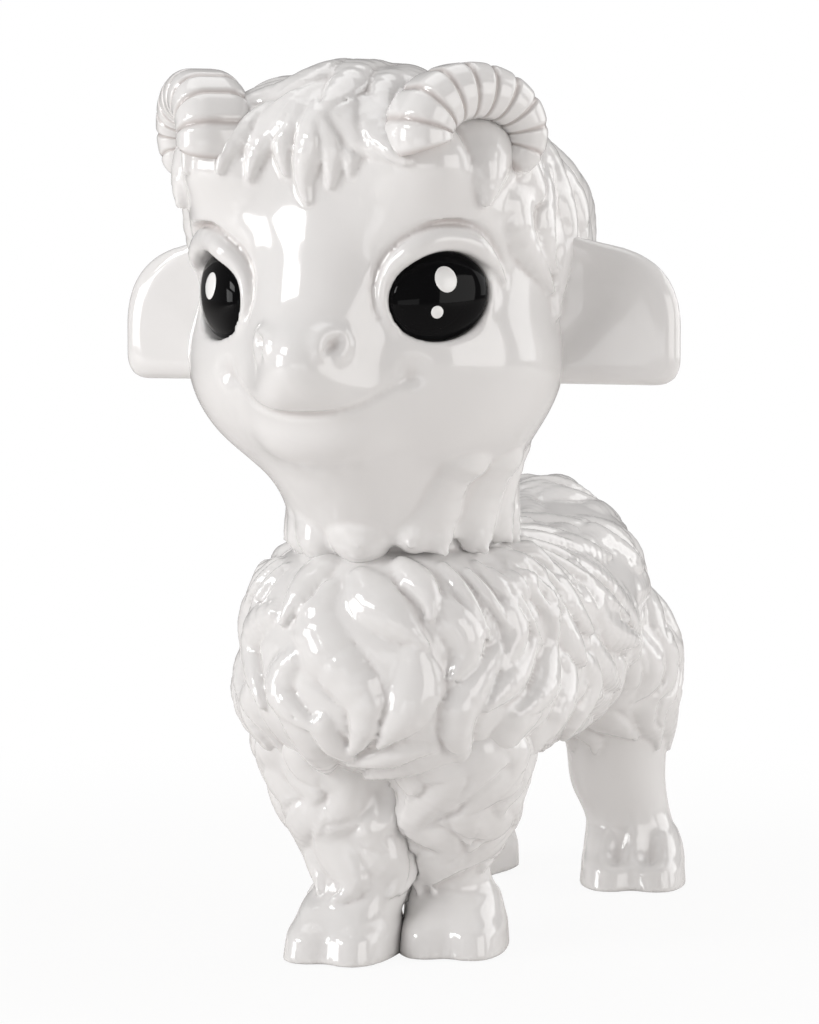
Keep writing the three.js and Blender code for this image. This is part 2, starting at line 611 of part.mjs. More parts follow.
// Ear: a slab with a squared end, cupped on its front
function earForm(side, grow) {
  const way = new THREE.Vector3(side * Math.cos(EAR_BACK_ANGLE), Math.sin(EAR_BACK_ANGLE), 0);
  const front = new THREE.Vector3(side * Math.sin(EAR_BACK_ANGLE), -Math.cos(EAR_BACK_ANGLE), 0);
  const root = new THREE.Vector3(side * EAR_ROOT.side, EAR_ROOT.y, HEAD_CENTRE.z + EAR_ROOT.rise);
  const rounding = 2 / EAR_CORNER_POWER;
  return skin(16, 10, (turn, run) => {
    const share = 0.5 - 0.5 * power(Math.cos(Math.PI * run), rounding);
    const fullness = power(Math.sin(Math.PI * run), rounding);
    const halfHeight = THREE.MathUtils.lerp(EAR_ROOT_HALF_HEIGHT, EAR_TIP_HALF_HEIGHT, share) + grow;
    const up = power(Math.sin(turn), rounding);
    const across = power(Math.cos(turn), rounding);
    const cup = across > 0 ? EAR_CUP * (1 - up * up) * Math.sin(Math.PI * share) : 0;
    const point = root.clone().addScaledVector(way, EAR_LENGTH * share);
    point.addScaledVector(front, fullness * ((EAR_HALF_THICKNESS + grow) * across - cup));
    point.z += fullness * halfHeight * up - EAR_DROP * share;
    return point;
  });
}

// Eye frame: the dome's centre and its outward, sideways and upward directions
function eyeFrame(side) {
  const outward = new THREE.Vector3(side * Math.sin(EYE_FACING), -Math.cos(EYE_FACING), 0);
  const sideways = new THREE.Vector3(side * Math.cos(EYE_FACING), Math.sin(EYE_FACING), 0);
  const upward = new THREE.Vector3(0, 0, 1);
  sideways.applyAxisAngle(outward, -side * EYE_TILT);
  upward.applyAxisAngle(outward, -side * EYE_TILT);
  const centre = new THREE.Vector3(
    side * EYE_CENTRE.side, EYE_CENTRE.y, HEAD_CENTRE.z + EYE_CENTRE.rise);
  return { centre, outward, sideways, upward };
}

function inEye(frame, sideways, upward, outward) {
  return frame.centre.clone()
    .addScaledVector(frame.sideways, sideways)
    .addScaledVector(frame.upward, upward)
    .addScaledVector(frame.outward, outward);
}

function eyeDome(side, grow, halfDepth, forward) {
  const frame = eyeFrame(side);
  return skin(EYE_SIDES, EYE_RINGS, (turn, run) => {
    const ring = Math.sin(Math.PI * run);
    const across = (EYE_HALF_WIDTH + grow) * ring * Math.cos(turn);
    const up = (EYE_HALF_HEIGHT + grow) * ring * Math.sin(turn);
    return inEye(frame, across, up, forward + halfDepth * Math.cos(Math.PI * run));
  });
}

function eyeForm(side, grow) {
  return eyeDome(side, grow, EYE_HALF_DEPTH + grow, 0);
}

// Upper lid: a rounded rim that follows the top of the eye
function lidForm(side) {
  const frame = eyeFrame(side);
  return skin(7, 12, (turn, run) => {
    const angle = Math.PI / 2 + LID_HALF_SWEEP * (1 - 2 * run);
    const radius = LID_RADIUS * Math.sin(Math.PI * run) ** 0.5;
    const reach = 1 + (LID_RADIUS + radius * Math.cos(turn)) / EYE_HALF_HEIGHT;
    const across = EYE_HALF_WIDTH * reach * Math.cos(angle);
    const up = EYE_HALF_HEIGHT * reach * Math.sin(angle);
    const lift = LID_LIFT - Math.abs(Math.cos(angle)) * LID_RADIUS;
    return inEye(frame, across, up, radius * Math.sin(turn) + lift);
  });
}

// Oval posts square to the eye: one opens the socket, others make the glints
function eyePost(side, { out, up, halfWidth, halfHeight, length }, facets) {
  const frame = eyeFrame(side);
  return skin(facets, 3, (turn, run) => {
    const open = run === 0 || run === 1 ? 0 : 1;
    const across = out + open * halfWidth * Math.cos(turn);
    return inEye(frame, across, up + open * halfHeight * Math.sin(turn), run < 0.5 ? 0 : length);
  });
}

function socketOpening(side) {
  const size = { halfWidth: EYE_HALF_WIDTH + GAP, halfHeight: EYE_HALF_HEIGHT + GAP };
  return eyePost(side, { out: 0, up: 0, ...size, length: EYE_OPENING_DEPTH }, EYE_SIDES);
}

function glintPost(side, out, up, radius) {
  const size = { halfWidth: radius, halfHeight: radius, length: 2 * EYE_HALF_DEPTH };
  return eyePost(side, { out, up, ...size }, GLINT_SIDES);
}

function eyeWithGlints(side, glints) {
  let eye = eyeForm(side, 0);
  const inlays = glints.map(({ out, up, radius }) => {
    const hole = glintPost(side, out, up, radius + GAP).subtract(eyeForm(side, -GLINT_DEPTH - GAP));
    eye = eye.subtract(hole);
    const post = glintPost(side, out, up, radius);
    return post.intersect(eyeForm(side, GLINT_PROUD)).subtract(eyeForm(side, -GLINT_DEPTH));
  });
  return { eye, inlays };
}

// Grooves of the face
function smileGroove() {
  return skin(5, 16, (turn, run) => {
    const side = 2 * run - 1;
    const azimuth = -Math.PI / 2 + SMILE_HALF_ANGLE * side;
    const polar = SMILE_POLAR_ANGLE - SMILE_LIFT * side * side;
    const radius = SMILE_RADIUS * Math.sin(Math.PI * run) ** 0.4;
    const point = headPoint(azimuth, polar + radius * Math.sin(turn) / HEAD_RISE);
    const normal = outwardNormal(headPoint, azimuth, polar);
    return point.addScaledVector(normal, radius * Math.cos(turn));
  });
}

function nostril(side) {
  const azimuth = -Math.PI / 2 + side * NOSTRIL_SIDE_ANGLE;
  const centre = headPoint(azimuth, NOSTRIL_POLAR_ANGLE);
  return skin(8, 6, (turn, run) => {
    const ring = NOSTRIL_RADIUS * Math.sin(Math.PI * run);
    const length = NOSTRIL_LENGTH * Math.cos(Math.PI * run);
    return new THREE.Vector3(
      centre.x + side * 0.7 * length + ring * Math.cos(turn) * 0.7,
      centre.y + 2 * ring * Math.sin(turn),
      centre.z + 0.7 * length - side * ring * Math.cos(turn) * 0.7);
  });
}

// A set piece ends just inside its host, and the host has a pocket a gap larger
function setInto(form, host, hostAt) {
  const piece = largestBody(form(0).subtract(hostAt(-POCKET_DEPTH)));
  const pocket = form(GAP).subtract(hostAt(-POCKET_DEPTH - GAP));
  return { piece, host: host.subtract(pocket) };
}

const torsoAt = (grow) => bulk(torsoPoint, grow);
const headAt = (grow) => bulk(headPoint, grow);

// Body: fleece, turned trough under the skirt, seat and spigot, then the hollow
function makeBody() {
  const trough = disc(SKIRT_RADIUS + SKIRT_LOCK_THICKNESS + SKIRT_CLEARANCE,
    HEM_HEIGHT - HEM_CLEARANCE, SPIGOT_TOP);
  const middle = (CHEST.top + CHEST.bottom) / 2;
  const seat = disc(SKIRT_INNER_RADIUS - SKIRT_CLEARANCE, middle, SEAT_HEIGHT);
  const spigot = disc(SPIGOT_RADIUS, middle, SPIGOT_TOP);
  let body = woollyTorso().add(shoulderForm()).subtract(trough).add(seat).add(spigot);
  body = body.subtract(torsoAt(-BODY_WALL));
  body = body.subtract(disc(SPIGOT_BORE, middle, SPIGOT_TOP + 1));
  const pieces = {};
  const forms = {
    front_left_leg: (grow) => frontLeg(LEFT, grow),
    front_right_leg: (grow) => frontLeg(RIGHT, grow),
    rear_left_leg: (grow) => rearLeg(LEFT, grow),
    rear_right_leg: (grow) => rearLeg(RIGHT, grow),
    tail: tailForm,
  };
  for (const [name, form] of Object.entries(forms)) {
    const set = setInto(form, body, torsoAt);
    pieces[name] = set.piece;
    body = set.host;
  }
  return { body: largestBody(body), pieces };
}

// Head: masses, wool, neck and skirt, then the hollow, the bore and the pockets
function makeHead() {
  let head = woollyHead().add(skirtedNeck());
  for (const side of [LEFT, RIGHT]) {
    head = head.add(eyeDome(side, EYE_RIM, EYE_HALF_DEPTH + EYE_RIM, -EYE_RIM_INSET));
    head = head.add(lidForm(side)).subtract(socketOpening(side));
  }
  head = head.subtract(disc(SKIRT_INNER_RADIUS, 0, HEAD_UNDERSIDE));
  head = head.subtract(headAt(-HEAD_WALL));
  head = head.subtract(disc(HEAD_BORE, 0, HEAD_CENTRE.z - CRANIUM.rise));
  head = head.subtract(smileGroove()).subtract(nostril(LEFT)).subtract(nostril(RIGHT));
  const pieces = {};
  const forms = {
    left_horn: (grow) => hornForm(LEFT, grow),
    right_horn: (grow) => hornForm(RIGHT, grow),
    left_ear: (grow) => earForm(LEFT, grow),
    right_ear: (grow) => earForm(RIGHT, grow),
  };
  for (const [name, form] of Object.entries(forms)) {
    const set = setInto(form, head, headAt);
    pieces[name] = set.piece;
    head = set.host;
  }
  head = head.subtract(eyeForm(LEFT, GAP)).subtract(eyeForm(RIGHT, GAP));
  return { head: largestBody(head), pieces };
}

function makeBush() {
  return turned([
    [BUSH_INNER, SEAT_HEIGHT + GAP], [BUSH_FLANGE_RADIUS, SEAT_HEIGHT + GAP],
    [BUSH_FLANGE_RADIUS, FLANGE_TOP], [BUSH_OUTER, FLANGE_TOP],
    [BUSH_OUTER, FLANGE_TOP + BUSH_LENGTH], [BUSH_INNER, FLANGE_TOP + BUSH_LENGTH],
    [BUSH_INNER, SEAT_HEIGHT + GAP]]);
}

// The assembled figure, standing on the origin with its box centred
const figure = new THREE.Group();
figure.name = "goat_figurine";

const { body, pieces: bodyPieces } = makeBody();
const { head, pieces: headPieces } = makeHead();
const largeGlint = { out: LARGE_GLINT_OUT, up: LARGE_GLINT_UP, radius: LARGE_GLINT_RADIUS };
const smallGlint = { out: SMALL_GLINT_OUT, up: SMALL_GLINT_UP, radius: SMALL_GLINT_RADIUS };
const leftEye = eyeWithGlints(LEFT, [largeGlint, smallGlint]);
const rightEye = eyeWithGlints(RIGHT, [largeGlint]);

figure.add(mesh("body_shell", body, WHITE_GLAZE));
figure.add(mesh("head_shell", head, WHITE_GLAZE));
for (const [name, piece] of Object.entries({ ...bodyPieces, ...headPieces })) {
  figure.add(mesh(name, piece, WHITE_GLAZE));
}
figure.add(mesh("left_eye", leftEye.eye, BLACK_GLAZE));
figure.add(mesh("right_eye", rightEye.eye, BLACK_GLAZE));
figure.add(mesh("left_eye_large_glint", leftEye.inlays[0], GLINT_GLAZE));
figure.add(mesh("left_eye_small_glint", leftEye.inlays[1], GLINT_GLAZE));
figure.add(mesh("right_eye_large_glint", rightEye.inlays[0], GLINT_GLAZE));
figure.add(mesh("neck_bush", makeBush(), CORK));

const box = new THREE.Box3().setFromObject(figure);
const centre = box.getCenter(new THREE.Vector3());
figure.position.set(-centre.x, -centre.y, -box.min.z);
figure.updateMatrixWorld(true);

export default figure;
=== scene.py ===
"""Glazed goat figurine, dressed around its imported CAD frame.

Forms are sculpted as signed distances in millimetres from the neck axis at ground level
(+Z up, the goat faces -Y, its left side is +X) and placed in the frame in metres.
"""

import logging
import math
from collections.abc import Callable
from dataclasses import dataclass, field
from enum import Enum

import bpy
import numpy as np
import openvdb
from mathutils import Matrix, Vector


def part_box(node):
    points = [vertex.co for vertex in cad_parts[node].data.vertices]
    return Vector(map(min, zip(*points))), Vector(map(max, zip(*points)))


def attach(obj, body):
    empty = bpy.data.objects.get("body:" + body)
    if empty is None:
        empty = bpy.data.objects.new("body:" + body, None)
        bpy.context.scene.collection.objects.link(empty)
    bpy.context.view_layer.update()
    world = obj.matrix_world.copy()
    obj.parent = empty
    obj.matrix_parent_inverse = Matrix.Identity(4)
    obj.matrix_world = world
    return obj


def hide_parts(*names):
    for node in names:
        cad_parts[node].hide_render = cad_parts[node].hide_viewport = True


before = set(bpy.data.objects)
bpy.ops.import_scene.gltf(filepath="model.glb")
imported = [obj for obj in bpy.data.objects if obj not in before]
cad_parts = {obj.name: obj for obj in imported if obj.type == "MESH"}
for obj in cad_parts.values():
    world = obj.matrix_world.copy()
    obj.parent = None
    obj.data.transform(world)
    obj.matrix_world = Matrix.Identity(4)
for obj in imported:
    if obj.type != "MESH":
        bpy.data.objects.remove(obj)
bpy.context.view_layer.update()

LOG = logging.getLogger("goat_figurine")
MM = 0.001
Array = np.ndarray

# Distances: largest kept, width of the band that is meshed, and room left round a shape
FAR = 12.0
BAND = 3.0
ROOM = 3.0

# Rays: rounds, share of the distance that a round goes, and its longest step in and out
RAY_ROUNDS = 60
RAY_PACE = 0.8
RAY_STEPS = (-2, 4)

# Smoothing of meshes: a step towards the neighbours, then a step back that keeps the volume
SMOOTHING = (0.5, -0.52)

# Pooled glaze with painted shade in creases: widths of the blurs in millimetres, their weights and the least
# depth that shows
POOL_AND_SHADE_BLURS = (1.3, 3.5)
POOL_AND_SHADE_WEIGHTS = (0.9, 0.15)
POOL_AND_SHADE_LEAST = 0.1


class Side(Enum):
    """The goat's own sides, as the sign of X."""

    LEFT = 1
    RIGHT = -1


class Body(Enum):
    """The bodies of the frame."""

    BODY = "body"
    HEAD = "head"


# Small helpers on numbers and arrays


def soft_min(a: Array, b: Array, blend: float) -> Array:
    """Joins two distance blocks with a rounded inner corner.

    Args:
        a: first distances.
        b: second distances.
        blend: width of the rounding in millimetres.

    Returns:
        The joined distances.
    """
    if blend <= 0:
        return np.minimum(a, b)
    near = np.maximum(blend - np.abs(a - b), 0)
    return np.minimum(a, b) - near * near / (4 * blend)


def soft_max(a: Array, b: Array, blend: float) -> Array:
    """Keeps what two distance blocks share, with a rounded edge."""
    return -soft_min(-a, -b, blend)


def smooth_step(share: Array) -> Array:
    """Eases a share from 0 to 1."""
    s = np.clip(share, 0, 1)
    return s * s * (3 - 2 * s)


def unit(v: Array) -> Array:
    """Scales vectors in the last axis to length 1."""
    return v / np.maximum(np.linalg.norm(v, axis=-1, keepdims=True), 1e-9)


def spline(knots: Array, values: Array, at: Array) -> Array:
    """Runs a smooth curve through values at rising knots.

    Args:
        knots: rising positions.
        values: the value at each knot.
        at: positions to read.

    Returns:
        The values read, held constant past the ends.
    """
    knots, values = np.asarray(knots, float), np.asarray(values, float)
    slopes = np.gradient(values, knots)
    t = np.clip(at, knots[0], knots[-1])
    i = np.clip(np.searchsorted(knots, t, side="right") - 1, 0, len(knots) - 2)
    gap = knots[i + 1] - knots[i]
    s = (t - knots[i]) / gap
    h00, h10 = 2 * s**3 - 3 * s**2 + 1, s**3 - 2 * s**2 + s
    h01, h11 = -2 * s**3 + 3 * s**2, s**3 - s**2
    return h00 * values[i] + h10 * gap * slopes[i] + h01 * values[i + 1] + h11 * gap * slopes[i + 1]


def through(points: Array, count: int) -> Array:
    """Draws a smooth path through points.

    Args:
        points: the path's corner points, one per row.
        count: how many points to return.

    Returns:
        The points of the path.
    """
    points = np.asarray(points, float)
    steps = np.linalg.norm(np.diff(points, axis=0), axis=1)
    run = np.concatenate([[0], np.cumsum(np.maximum(steps, 1e-6))])
    at = np.linspace(0, run[-1], count)
    return np.stack([spline(run, points[:, k], at) for k in range(points.shape[1])], 1)


# Shapes: each gives distances and the block of space that it touches


@dataclass
class Blob:
    """An ellipsoid, turned by a frame of three axes."""

    centre: tuple
    half: tuple
    axes: Array = field(default_factory=lambda: np.eye(3))

    def reach(self) -> tuple[Array, Array]:
        """Lowest and highest corner."""
        size = np.abs(np.asarray(self.axes).T) @ np.asarray(self.half, float)
        return np.asarray(self.centre) - size, np.asarray(self.centre) + size

    def distance(self, x: Array, y: Array, z: Array) -> Array:
        """Distances at a block of points."""
        dx, dy, dz = x - self.centre[0], y - self.centre[1], z - self.centre[2]
        outer = inner = 0
        for axis, half in zip(np.asarray(self.axes), self.half):
            along = (dx * axis[0] + dy * axis[1] + dz * axis[2]) / half
            outer = outer + along * along
            inner = inner + (along / half) ** 2
        outer = np.sqrt(outer)
        return outer * (outer - 1) / np.maximum(np.sqrt(inner), 1e-6)


@dataclass
class Rope:
    """A round strand along a path, with a radius at each point."""

    path: Array
    radius: Array

    def reach(self) -> tuple[Array, Array]:
        """Lowest and highest corner."""
        size = np.asarray(self.radius)[:, None]
        return (self.path - size).min(0), (self.path + size).max(0)

    def distance(self, x: Array, y: Array, z: Array) -> Array:
        """Distances at a block of points."""
        best = None
        for i in range(len(self.path) - 1):
            a, way = self.path[i], self.path[i + 1] - self.path[i]
            px, py, pz = x - np.float32(a[0]), y - np.float32(a[1]), z - np.float32(a[2])
            w = way.astype(np.float32)
            share = (px * w[0] + py * w[1] + pz * w[2]) / np.float32(max(way @ way, 1e-9))
            share = np.clip(share, 0, 1)
            gap = (px - share * w[0]) ** 2 + (py - share * w[1]) ** 2 + (pz - share * w[2]) ** 2
            thick = np.float32(self.radius[i]) + share * np.float32(self.radius[i + 1] - self.radius[i])
            d = np.sqrt(gap) - thick
            best = d if best is None else np.minimum(best, d)
        return best


@dataclass
class Tube:
    """A straight oval bar from a point along the last of three axes."""

    base: Array
    axes: Array
    half: tuple
    length: float

    def reach(self) -> tuple[Array, Array]:
        """Lowest and highest corner."""
        ends = np.array([self.base, self.base + self.axes[2] * self.length])
        return ends.min(0) - max(self.half), ends.max(0) + max(self.half)

    def distance(self, x: Array, y: Array, z: Array) -> Array:
        """Distances at a block of points."""
        d = (x - self.base[0], y - self.base[1], z - self.base[2])
        across, up, along = (sum(d[k] * axis[k] for k in range(3)) for axis in self.axes)
        wall = (np.sqrt((across / self.half[0]) ** 2 + (up / self.half[1]) ** 2) - 1) * min(self.half)
        return np.maximum(wall, np.maximum(-along, along - self.length))


@dataclass
class Loft:
    """Oval sections stacked upwards: rows of height, centre x, centre y, half x, half y."""

    rows: Array
    power: float = 2.0
    yaw: float = 0.0
    rounding: float = 1.5
    spare: float = 1.2

    def reach(self) -> tuple[Array, Array]:
        """Lowest and highest corner."""
        rows = np.asarray(self.rows, float)
        size = rows[:, 3:].max() * self.spare
        low = [rows[:, 1].min() - size, rows[:, 2].min() - size, rows[0, 0]]
        high = [rows[:, 1].max() + size, rows[:, 2].max() + size, rows[-1, 0]]
        return np.array(low), np.array(high)

    def distance(self, x: Array, y: Array, z: Array) -> Array:
        """Distances at a block of points."""
        rows = np.asarray(self.rows, float)
        cx, cy, hx, hy = (
            spline(rows[:, 0], rows[:, k], z).astype(np.float32) for k in range(1, 5))
        cos, sin = math.cos(self.yaw), math.sin(self.yaw)
        dx, dy = (x - cx) * cos + (y - cy) * sin, (y - cy) * cos - (x - cx) * sin
        p = self.power
        ring = ((np.abs(dx) / hx) ** p + (np.abs(dy) / hy) ** p) ** (1 / p)
        wall = (ring - 1) * np.minimum(hx, hy)
        ends = np.maximum(rows[0, 0] - z, z - rows[-1, 0])
        return soft_max(wall, ends + 0 * wall, self.rounding)


class Field:
    """Signed distances on a block of cubes, that shapes are added to and cut from."""

    def __init__(self, low: tuple, high: tuple, step: float) -> None:
        """Makes an empty block.

        Args:
            low: lowest corner in millimetres.
            high: highest corner in millimetres.
            step: size of the cubes.
        """
        self.step = step
        self.low = np.asarray(low, float)
        self.count = np.ceil((np.asarray(high) - self.low) / step).astype(int) + 1
        self.values = np.full(self.count, FAR, np.float32)

    def window(self, low: Array, high: Array) -> tuple[tuple, tuple]:
        """Finds the cubes between two corners.

        Args:
            low: lowest corner.
            high: highest corner.

        Returns:
            The slices and the three axes of that part of the block.
        """
        first = np.clip(np.floor((low - self.low) / self.step).astype(int), 0, self.count)
        last = np.clip(np.ceil((high - self.low) / self.step).astype(int) + 1, 0, self.count)
        cut = tuple(slice(a, b) for a, b in zip(first, last))
        axes = []
        for k in range(3):
            line = (self.low[k] + self.step * np.arange(first[k], last[k])).astype(np.float32)
            axes.append(line.reshape([-1 if i == k else 1 for i in range(3)]))
        return cut, tuple(axes)

    def add(self, shape: object, blend: float = 0.0, room: float = ROOM) -> None:
        """Joins a shape on, with a fillet as wide as blend."""
        low, high = shape.reach()
        cut, axes = self.window(low - blend - room, high + blend + room)
        if self.values[cut].size:
            d = np.broadcast_to(shape.distance(*axes), self.values[cut].shape)
            self.values[cut] = soft_min(self.values[cut], d, blend)

    def cut(self, shape: object, blend: float = 0.0) -> None:
        """Takes a shape away, with an edge rounding as wide as blend."""
        low, high = shape.reach()
        cut, axes = self.window(low - blend - ROOM, high + blend + ROOM)
        if self.values[cut].size:
            d = np.broadcast_to(shape.distance(*axes), self.values[cut].shape)
            self.values[cut] = soft_max(self.values[cut], -d, blend)

    def keep(self, shape: object, blend: float = 0.0) -> None:
        """Keeps only what lies in a shape, with an edge rounding as wide as blend."""
        d = np.broadcast_to(shape.distance(*self.everywhere()), self.values.shape)
        self.values = soft_max(self.values, d, blend)

    def everywhere(self) -> tuple:
        """The three axes of the whole block."""
        return self.window(self.low, self.low + self.step * self.count)[1]

    def at(self, points: Array) -> Array:
        """Reads distances at points, between the cubes.

        Args:
            points: points in millimetres, one per row.

        Returns:
            One distance for each point.
        """
        return read_block(self.values, (points - self.low) / self.step)

    def normals(self, points: Array) -> Array:
        """Outward directions at points."""
        parts = []
        for k in range(3):
            move = np.zeros(3)
            move[k] = self.step
            parts.append(self.at(points + move) - self.at(points - move))
        return unit(np.stack(parts, -1))

    def drop(self, points: Array, rounds: int = 6) -> Array:
        """Moves points onto the surface along the distances."""
        for _ in range(rounds):
            points = points - self.normals(points) * self.at(points)[:, None]
        return points

    def hit(self, start: Array, way: Array, far: float = 90.0) -> Array:
        """Finds where rays from inside leave the form.

        Args:
            start: start points.
            way: unit directions.
            far: longest ray.

        Returns:
            The points on the surface.
        """
        run = np.full(len(way), far)
        for _ in range(RAY_ROUNDS):
            gap = self.at(start + way * run[:, None])
            run = run - np.clip(gap, *RAY_STEPS) * RAY_PACE
        return start + way * run[:, None]

    def hollows(self, width: float) -> Array:
        """Blurs the distances, which come out low in creases.

        Args:
            width: spread of the blur in millimetres.

        Returns:
            The blurred block.
        """
        reach = max(1, round(2 * width / self.step))
        taps = np.exp(-0.5 * (np.arange(-reach, reach + 1) * self.step / width) ** 2)
        taps = (taps / taps.sum()).astype(np.float32)
        block = np.clip(self.values, -3 * width, 3 * width)
        for axis in range(3):
            widths = [(reach, reach) if k == axis else (0, 0) for k in range(3)]
            padded = np.pad(block, widths, "edge")
            block = sum(
                t * np.take(padded, range(i, i + self.count[axis]), axis) for i, t in enumerate(taps))
        return block

    def skin(self, relax: int = 3) -> tuple[Array, Array]:
        """Draws the surface as four-sided faces.

        Args:
            relax: rounds of smoothing.

        Returns:
            Points in millimetres and the faces.
        """
        grid = openvdb.FloatGrid(BAND)
        grid.copyFromArray(np.clip(self.values, -BAND, BAND))
        points, quads = grid.convertToQuads(isovalue=0.0)
        points = points.astype(float) * self.step + self.low
        quads = quads.astype(np.int64)
        edges = np.concatenate([quads[:, [k, (k + 1) % 4]] for k in range(4)])
        degree = np.bincount(edges[:, 0], minlength=len(points))[:, None]
        for share in SMOOTHING * relax:
            pull = np.stack(
                [np.bincount(edges[:, 0], points[edges[:, 1], a], len(points)) for a in range(3)], 1)
            points = points + share * (pull / np.maximum(degree, 1) - points)
        return points, quads


def read_block(block: Array, at: Array) -> Array:
    """Reads a block between its cubes.

    Args:
        block: three-way array.
        at: places in cubes, one per row.

    Returns:
        One value per row.
    """
    top = np.array(block.shape) - 1.001
    at = np.clip(at, 0, top)
    i = at.astype(int)
    f = (at - i).astype(np.float32)
    total = 0
    for corner in range(8):
        o = [(corner >> k) & 1 for k in range(3)]
        share = np.prod([f[..., k] if o[k] else 1 - f[..., k] for k in range(3)], axis=0)
        total = total + share * block[i[..., 0] + o[0], i[..., 1] + o[1], i[..., 2] + o[2]]
    return total


# Finishes


@dataclass(frozen=True)
class Finish:
    """A glaze or other surface: its slot in the record and its look."""

    slot: str
    colour: tuple
    # Second colour: mottle and pores, and pooled glaze with painted shade in creases
    tone_and_shade: tuple
    roughness: float
    coat: float
    mottle: float
    ripple: float
    pores: float = 0.0
    specular: float = 0.5


# The white glaze's second colour is a warm grey, the painted shade of its creases
WHITE_GLAZE = Finish(
    "white_glaze", (0.83, 0.82, 0.813), (0.52, 0.465, 0.445),
    roughness=0.1, coat=0.6, mottle=0.02, ripple=0.12)
BLACK_GLAZE = Finish(
    "black_glaze", (0.003, 0.003, 0.0035), (0.002, 0.002, 0.002),
    roughness=0.03, coat=0.0, mottle=0.3, ripple=0.03, specular=0.1)
GLINT_GLAZE = Finish(
    "glint_glaze", (0.93, 0.93, 0.92), (0.8, 0.8, 0.79),
    roughness=0.14, coat=0.4, mottle=0.02, ripple=0.05)
CORK = Finish(
    "bush_cork", (0.48, 0.27, 0.11), (0.2, 0.1, 0.04),
    roughness=0.85, coat=0.0, mottle=0.5, ripple=0.8, pores=1.0)


class Wiring:
    """Adds nodes to a node tree and feeds their inputs."""

    def __init__(self, tree: bpy.types.NodeTree) -> None:
        """Takes the tree to work on."""
        self.nodes, self.links = tree.nodes, tree.links

    def feed(self, node: bpy.types.Node, feeds: dict) -> None:
        """Sets inputs of a node to values, or links them to output sockets."""
        for key, value in feeds.items():
            if isinstance(value, bpy.types.NodeSocket):
                self.links.new(value, node.inputs[key])
            else:
                node.inputs[key].default_value = value

    def add(self, kind: str, feeds: dict | None = None, **settings: object) -> bpy.types.Node:
        """Adds a node.

        Args:
            kind: Blender's name for the node.
            feeds: values or output sockets, by the input's name or number.
            settings: properties of the node.

        Returns:
            The node.
        """
        node = self.nodes.new(kind)
        for key, value in settings.items():
            setattr(node, key, value)
        self.feed(node, feeds or {})
        return node

    def math(self, operation: str, *values: object) -> bpy.types.NodeSocket:
        """Adds a math node on values or sockets and gives its output."""
        return self.add("ShaderNodeMath", dict(enumerate(values)), operation=operation).outputs[0]


@dataclass
class Glazer:
    """Makes the materials, which share one node group for pooled colour with painted crease shade, and
    ripple.
    """

    # Scale and detail of each noise
    broad_noise: tuple = (28.0, 2.0)
    fine_noise: tuple = (110.0, 1.0)
    pore_noise: tuple = (900.0, 3.0)
    roughness_spread: float = 0.05
    ripple_height: float = 0.0008
    coat_roughness: float = 0.03
    made: dict = field(default_factory=dict)

    def __post_init__(self) -> None:
        """Builds the shared group."""
        self.group = self.pool_and_shade_group()

    def pool_and_shade_group(self) -> bpy.types.NodeTree:
        """Builds the group: colour that deepens in creases as pooled glaze and painted shade, roughness and
        ripple height.
        """
        tree = bpy.data.node_groups.new("glaze_pool_and_shade", "ShaderNodeTree")
        sockets = (
            ("INPUT", "NodeSocketColor", ("Colour", "Tone And Shade Colour")),
            ("INPUT", "NodeSocketFloat", ("Roughness", "Mottle", "Pores")),
            ("OUTPUT", "NodeSocketColor", ("Colour",)),
            ("OUTPUT", "NodeSocketFloat", ("Roughness", "Height")))
        for way, kind, names in sockets:
            for name in names:
                tree.interface.new_socket(name=name, in_out=way, socket_type=kind)
        wiring = Wiring(tree)
        given = wiring.add("NodeGroupInput").outputs
        place = wiring.add("ShaderNodeTexCoord").outputs["Object"]
        # Read per point: pooled glaze and painted shade, deepest in creases
        pool_and_shade = wiring.add("ShaderNodeAttribute", attribute_name="pool_and_shade").outputs["Fac"]
        noises = []
        for scale, detail in (self.broad_noise, self.fine_noise, self.pore_noise):
            feeds = {"Vector": place, "Scale": scale, "Detail": detail}
            noises.append(wiring.add("ShaderNodeTexNoise", feeds).outputs["Fac"])
        broad, fine, pore = noises
        # The second colour comes in with mottle, pores, and the pooled glaze with its painted shade
        spread = wiring.math("MULTIPLY_ADD", broad, given["Mottle"], pool_and_shade)
        speck = wiring.math("MULTIPLY_ADD", pore, given["Pores"], spread)
        colours = {"Factor": speck, "A": given["Colour"], "B": given["Tone And Shade Colour"]}
        mix = wiring.add("ShaderNodeMix", colours, data_type="RGBA", clamp_factor=True)
        wiring.add("NodeGroupOutput", {
            "Colour": mix.outputs["Result"],
            "Roughness": wiring.math("MULTIPLY_ADD", broad, self.roughness_spread, given["Roughness"]),
            "Height": wiring.math("MULTIPLY_ADD", pore, given["Pores"], fine)})
        return tree

    def material(self, finish: Finish) -> bpy.types.Material:
        """Gives a finish its material.

        Args:
            finish: the finish.

        Returns:
            The material, made once.
        """
        if finish.slot in self.made:
            return self.made[finish.slot]
        material = bpy.data.materials.new(finish.slot)
        material.use_nodes = True
        wiring = Wiring(material.node_tree)
        group = wiring.add("ShaderNodeGroup", node_tree=self.group)
        wiring.feed(group, {
            "Colour": (*finish.colour, 1), "Tone And Shade Colour": (*finish.tone_and_shade, 1),
            "Roughness": finish.roughness, "Mottle": finish.mottle, "Pores": finish.pores})
        bump = wiring.add("ShaderNodeBump", {
            "Strength": finish.ripple, "Distance": self.ripple_height, "Height": group.outputs["Height"]})
        wiring.feed(material.node_tree.nodes["Principled BSDF"], {
            "Base Color": group.outputs["Colour"], "Roughness": group.outputs["Roughness"],
            "Normal": bump.outputs["Normal"], "Specular IOR Level": finish.specular,
            "Coat Weight": finish.coat, "Coat Roughness": self.coat_roughness})
        self.made[finish.slot] = material
        return material


# Bench: turns sculpted forms into pieces on the frame


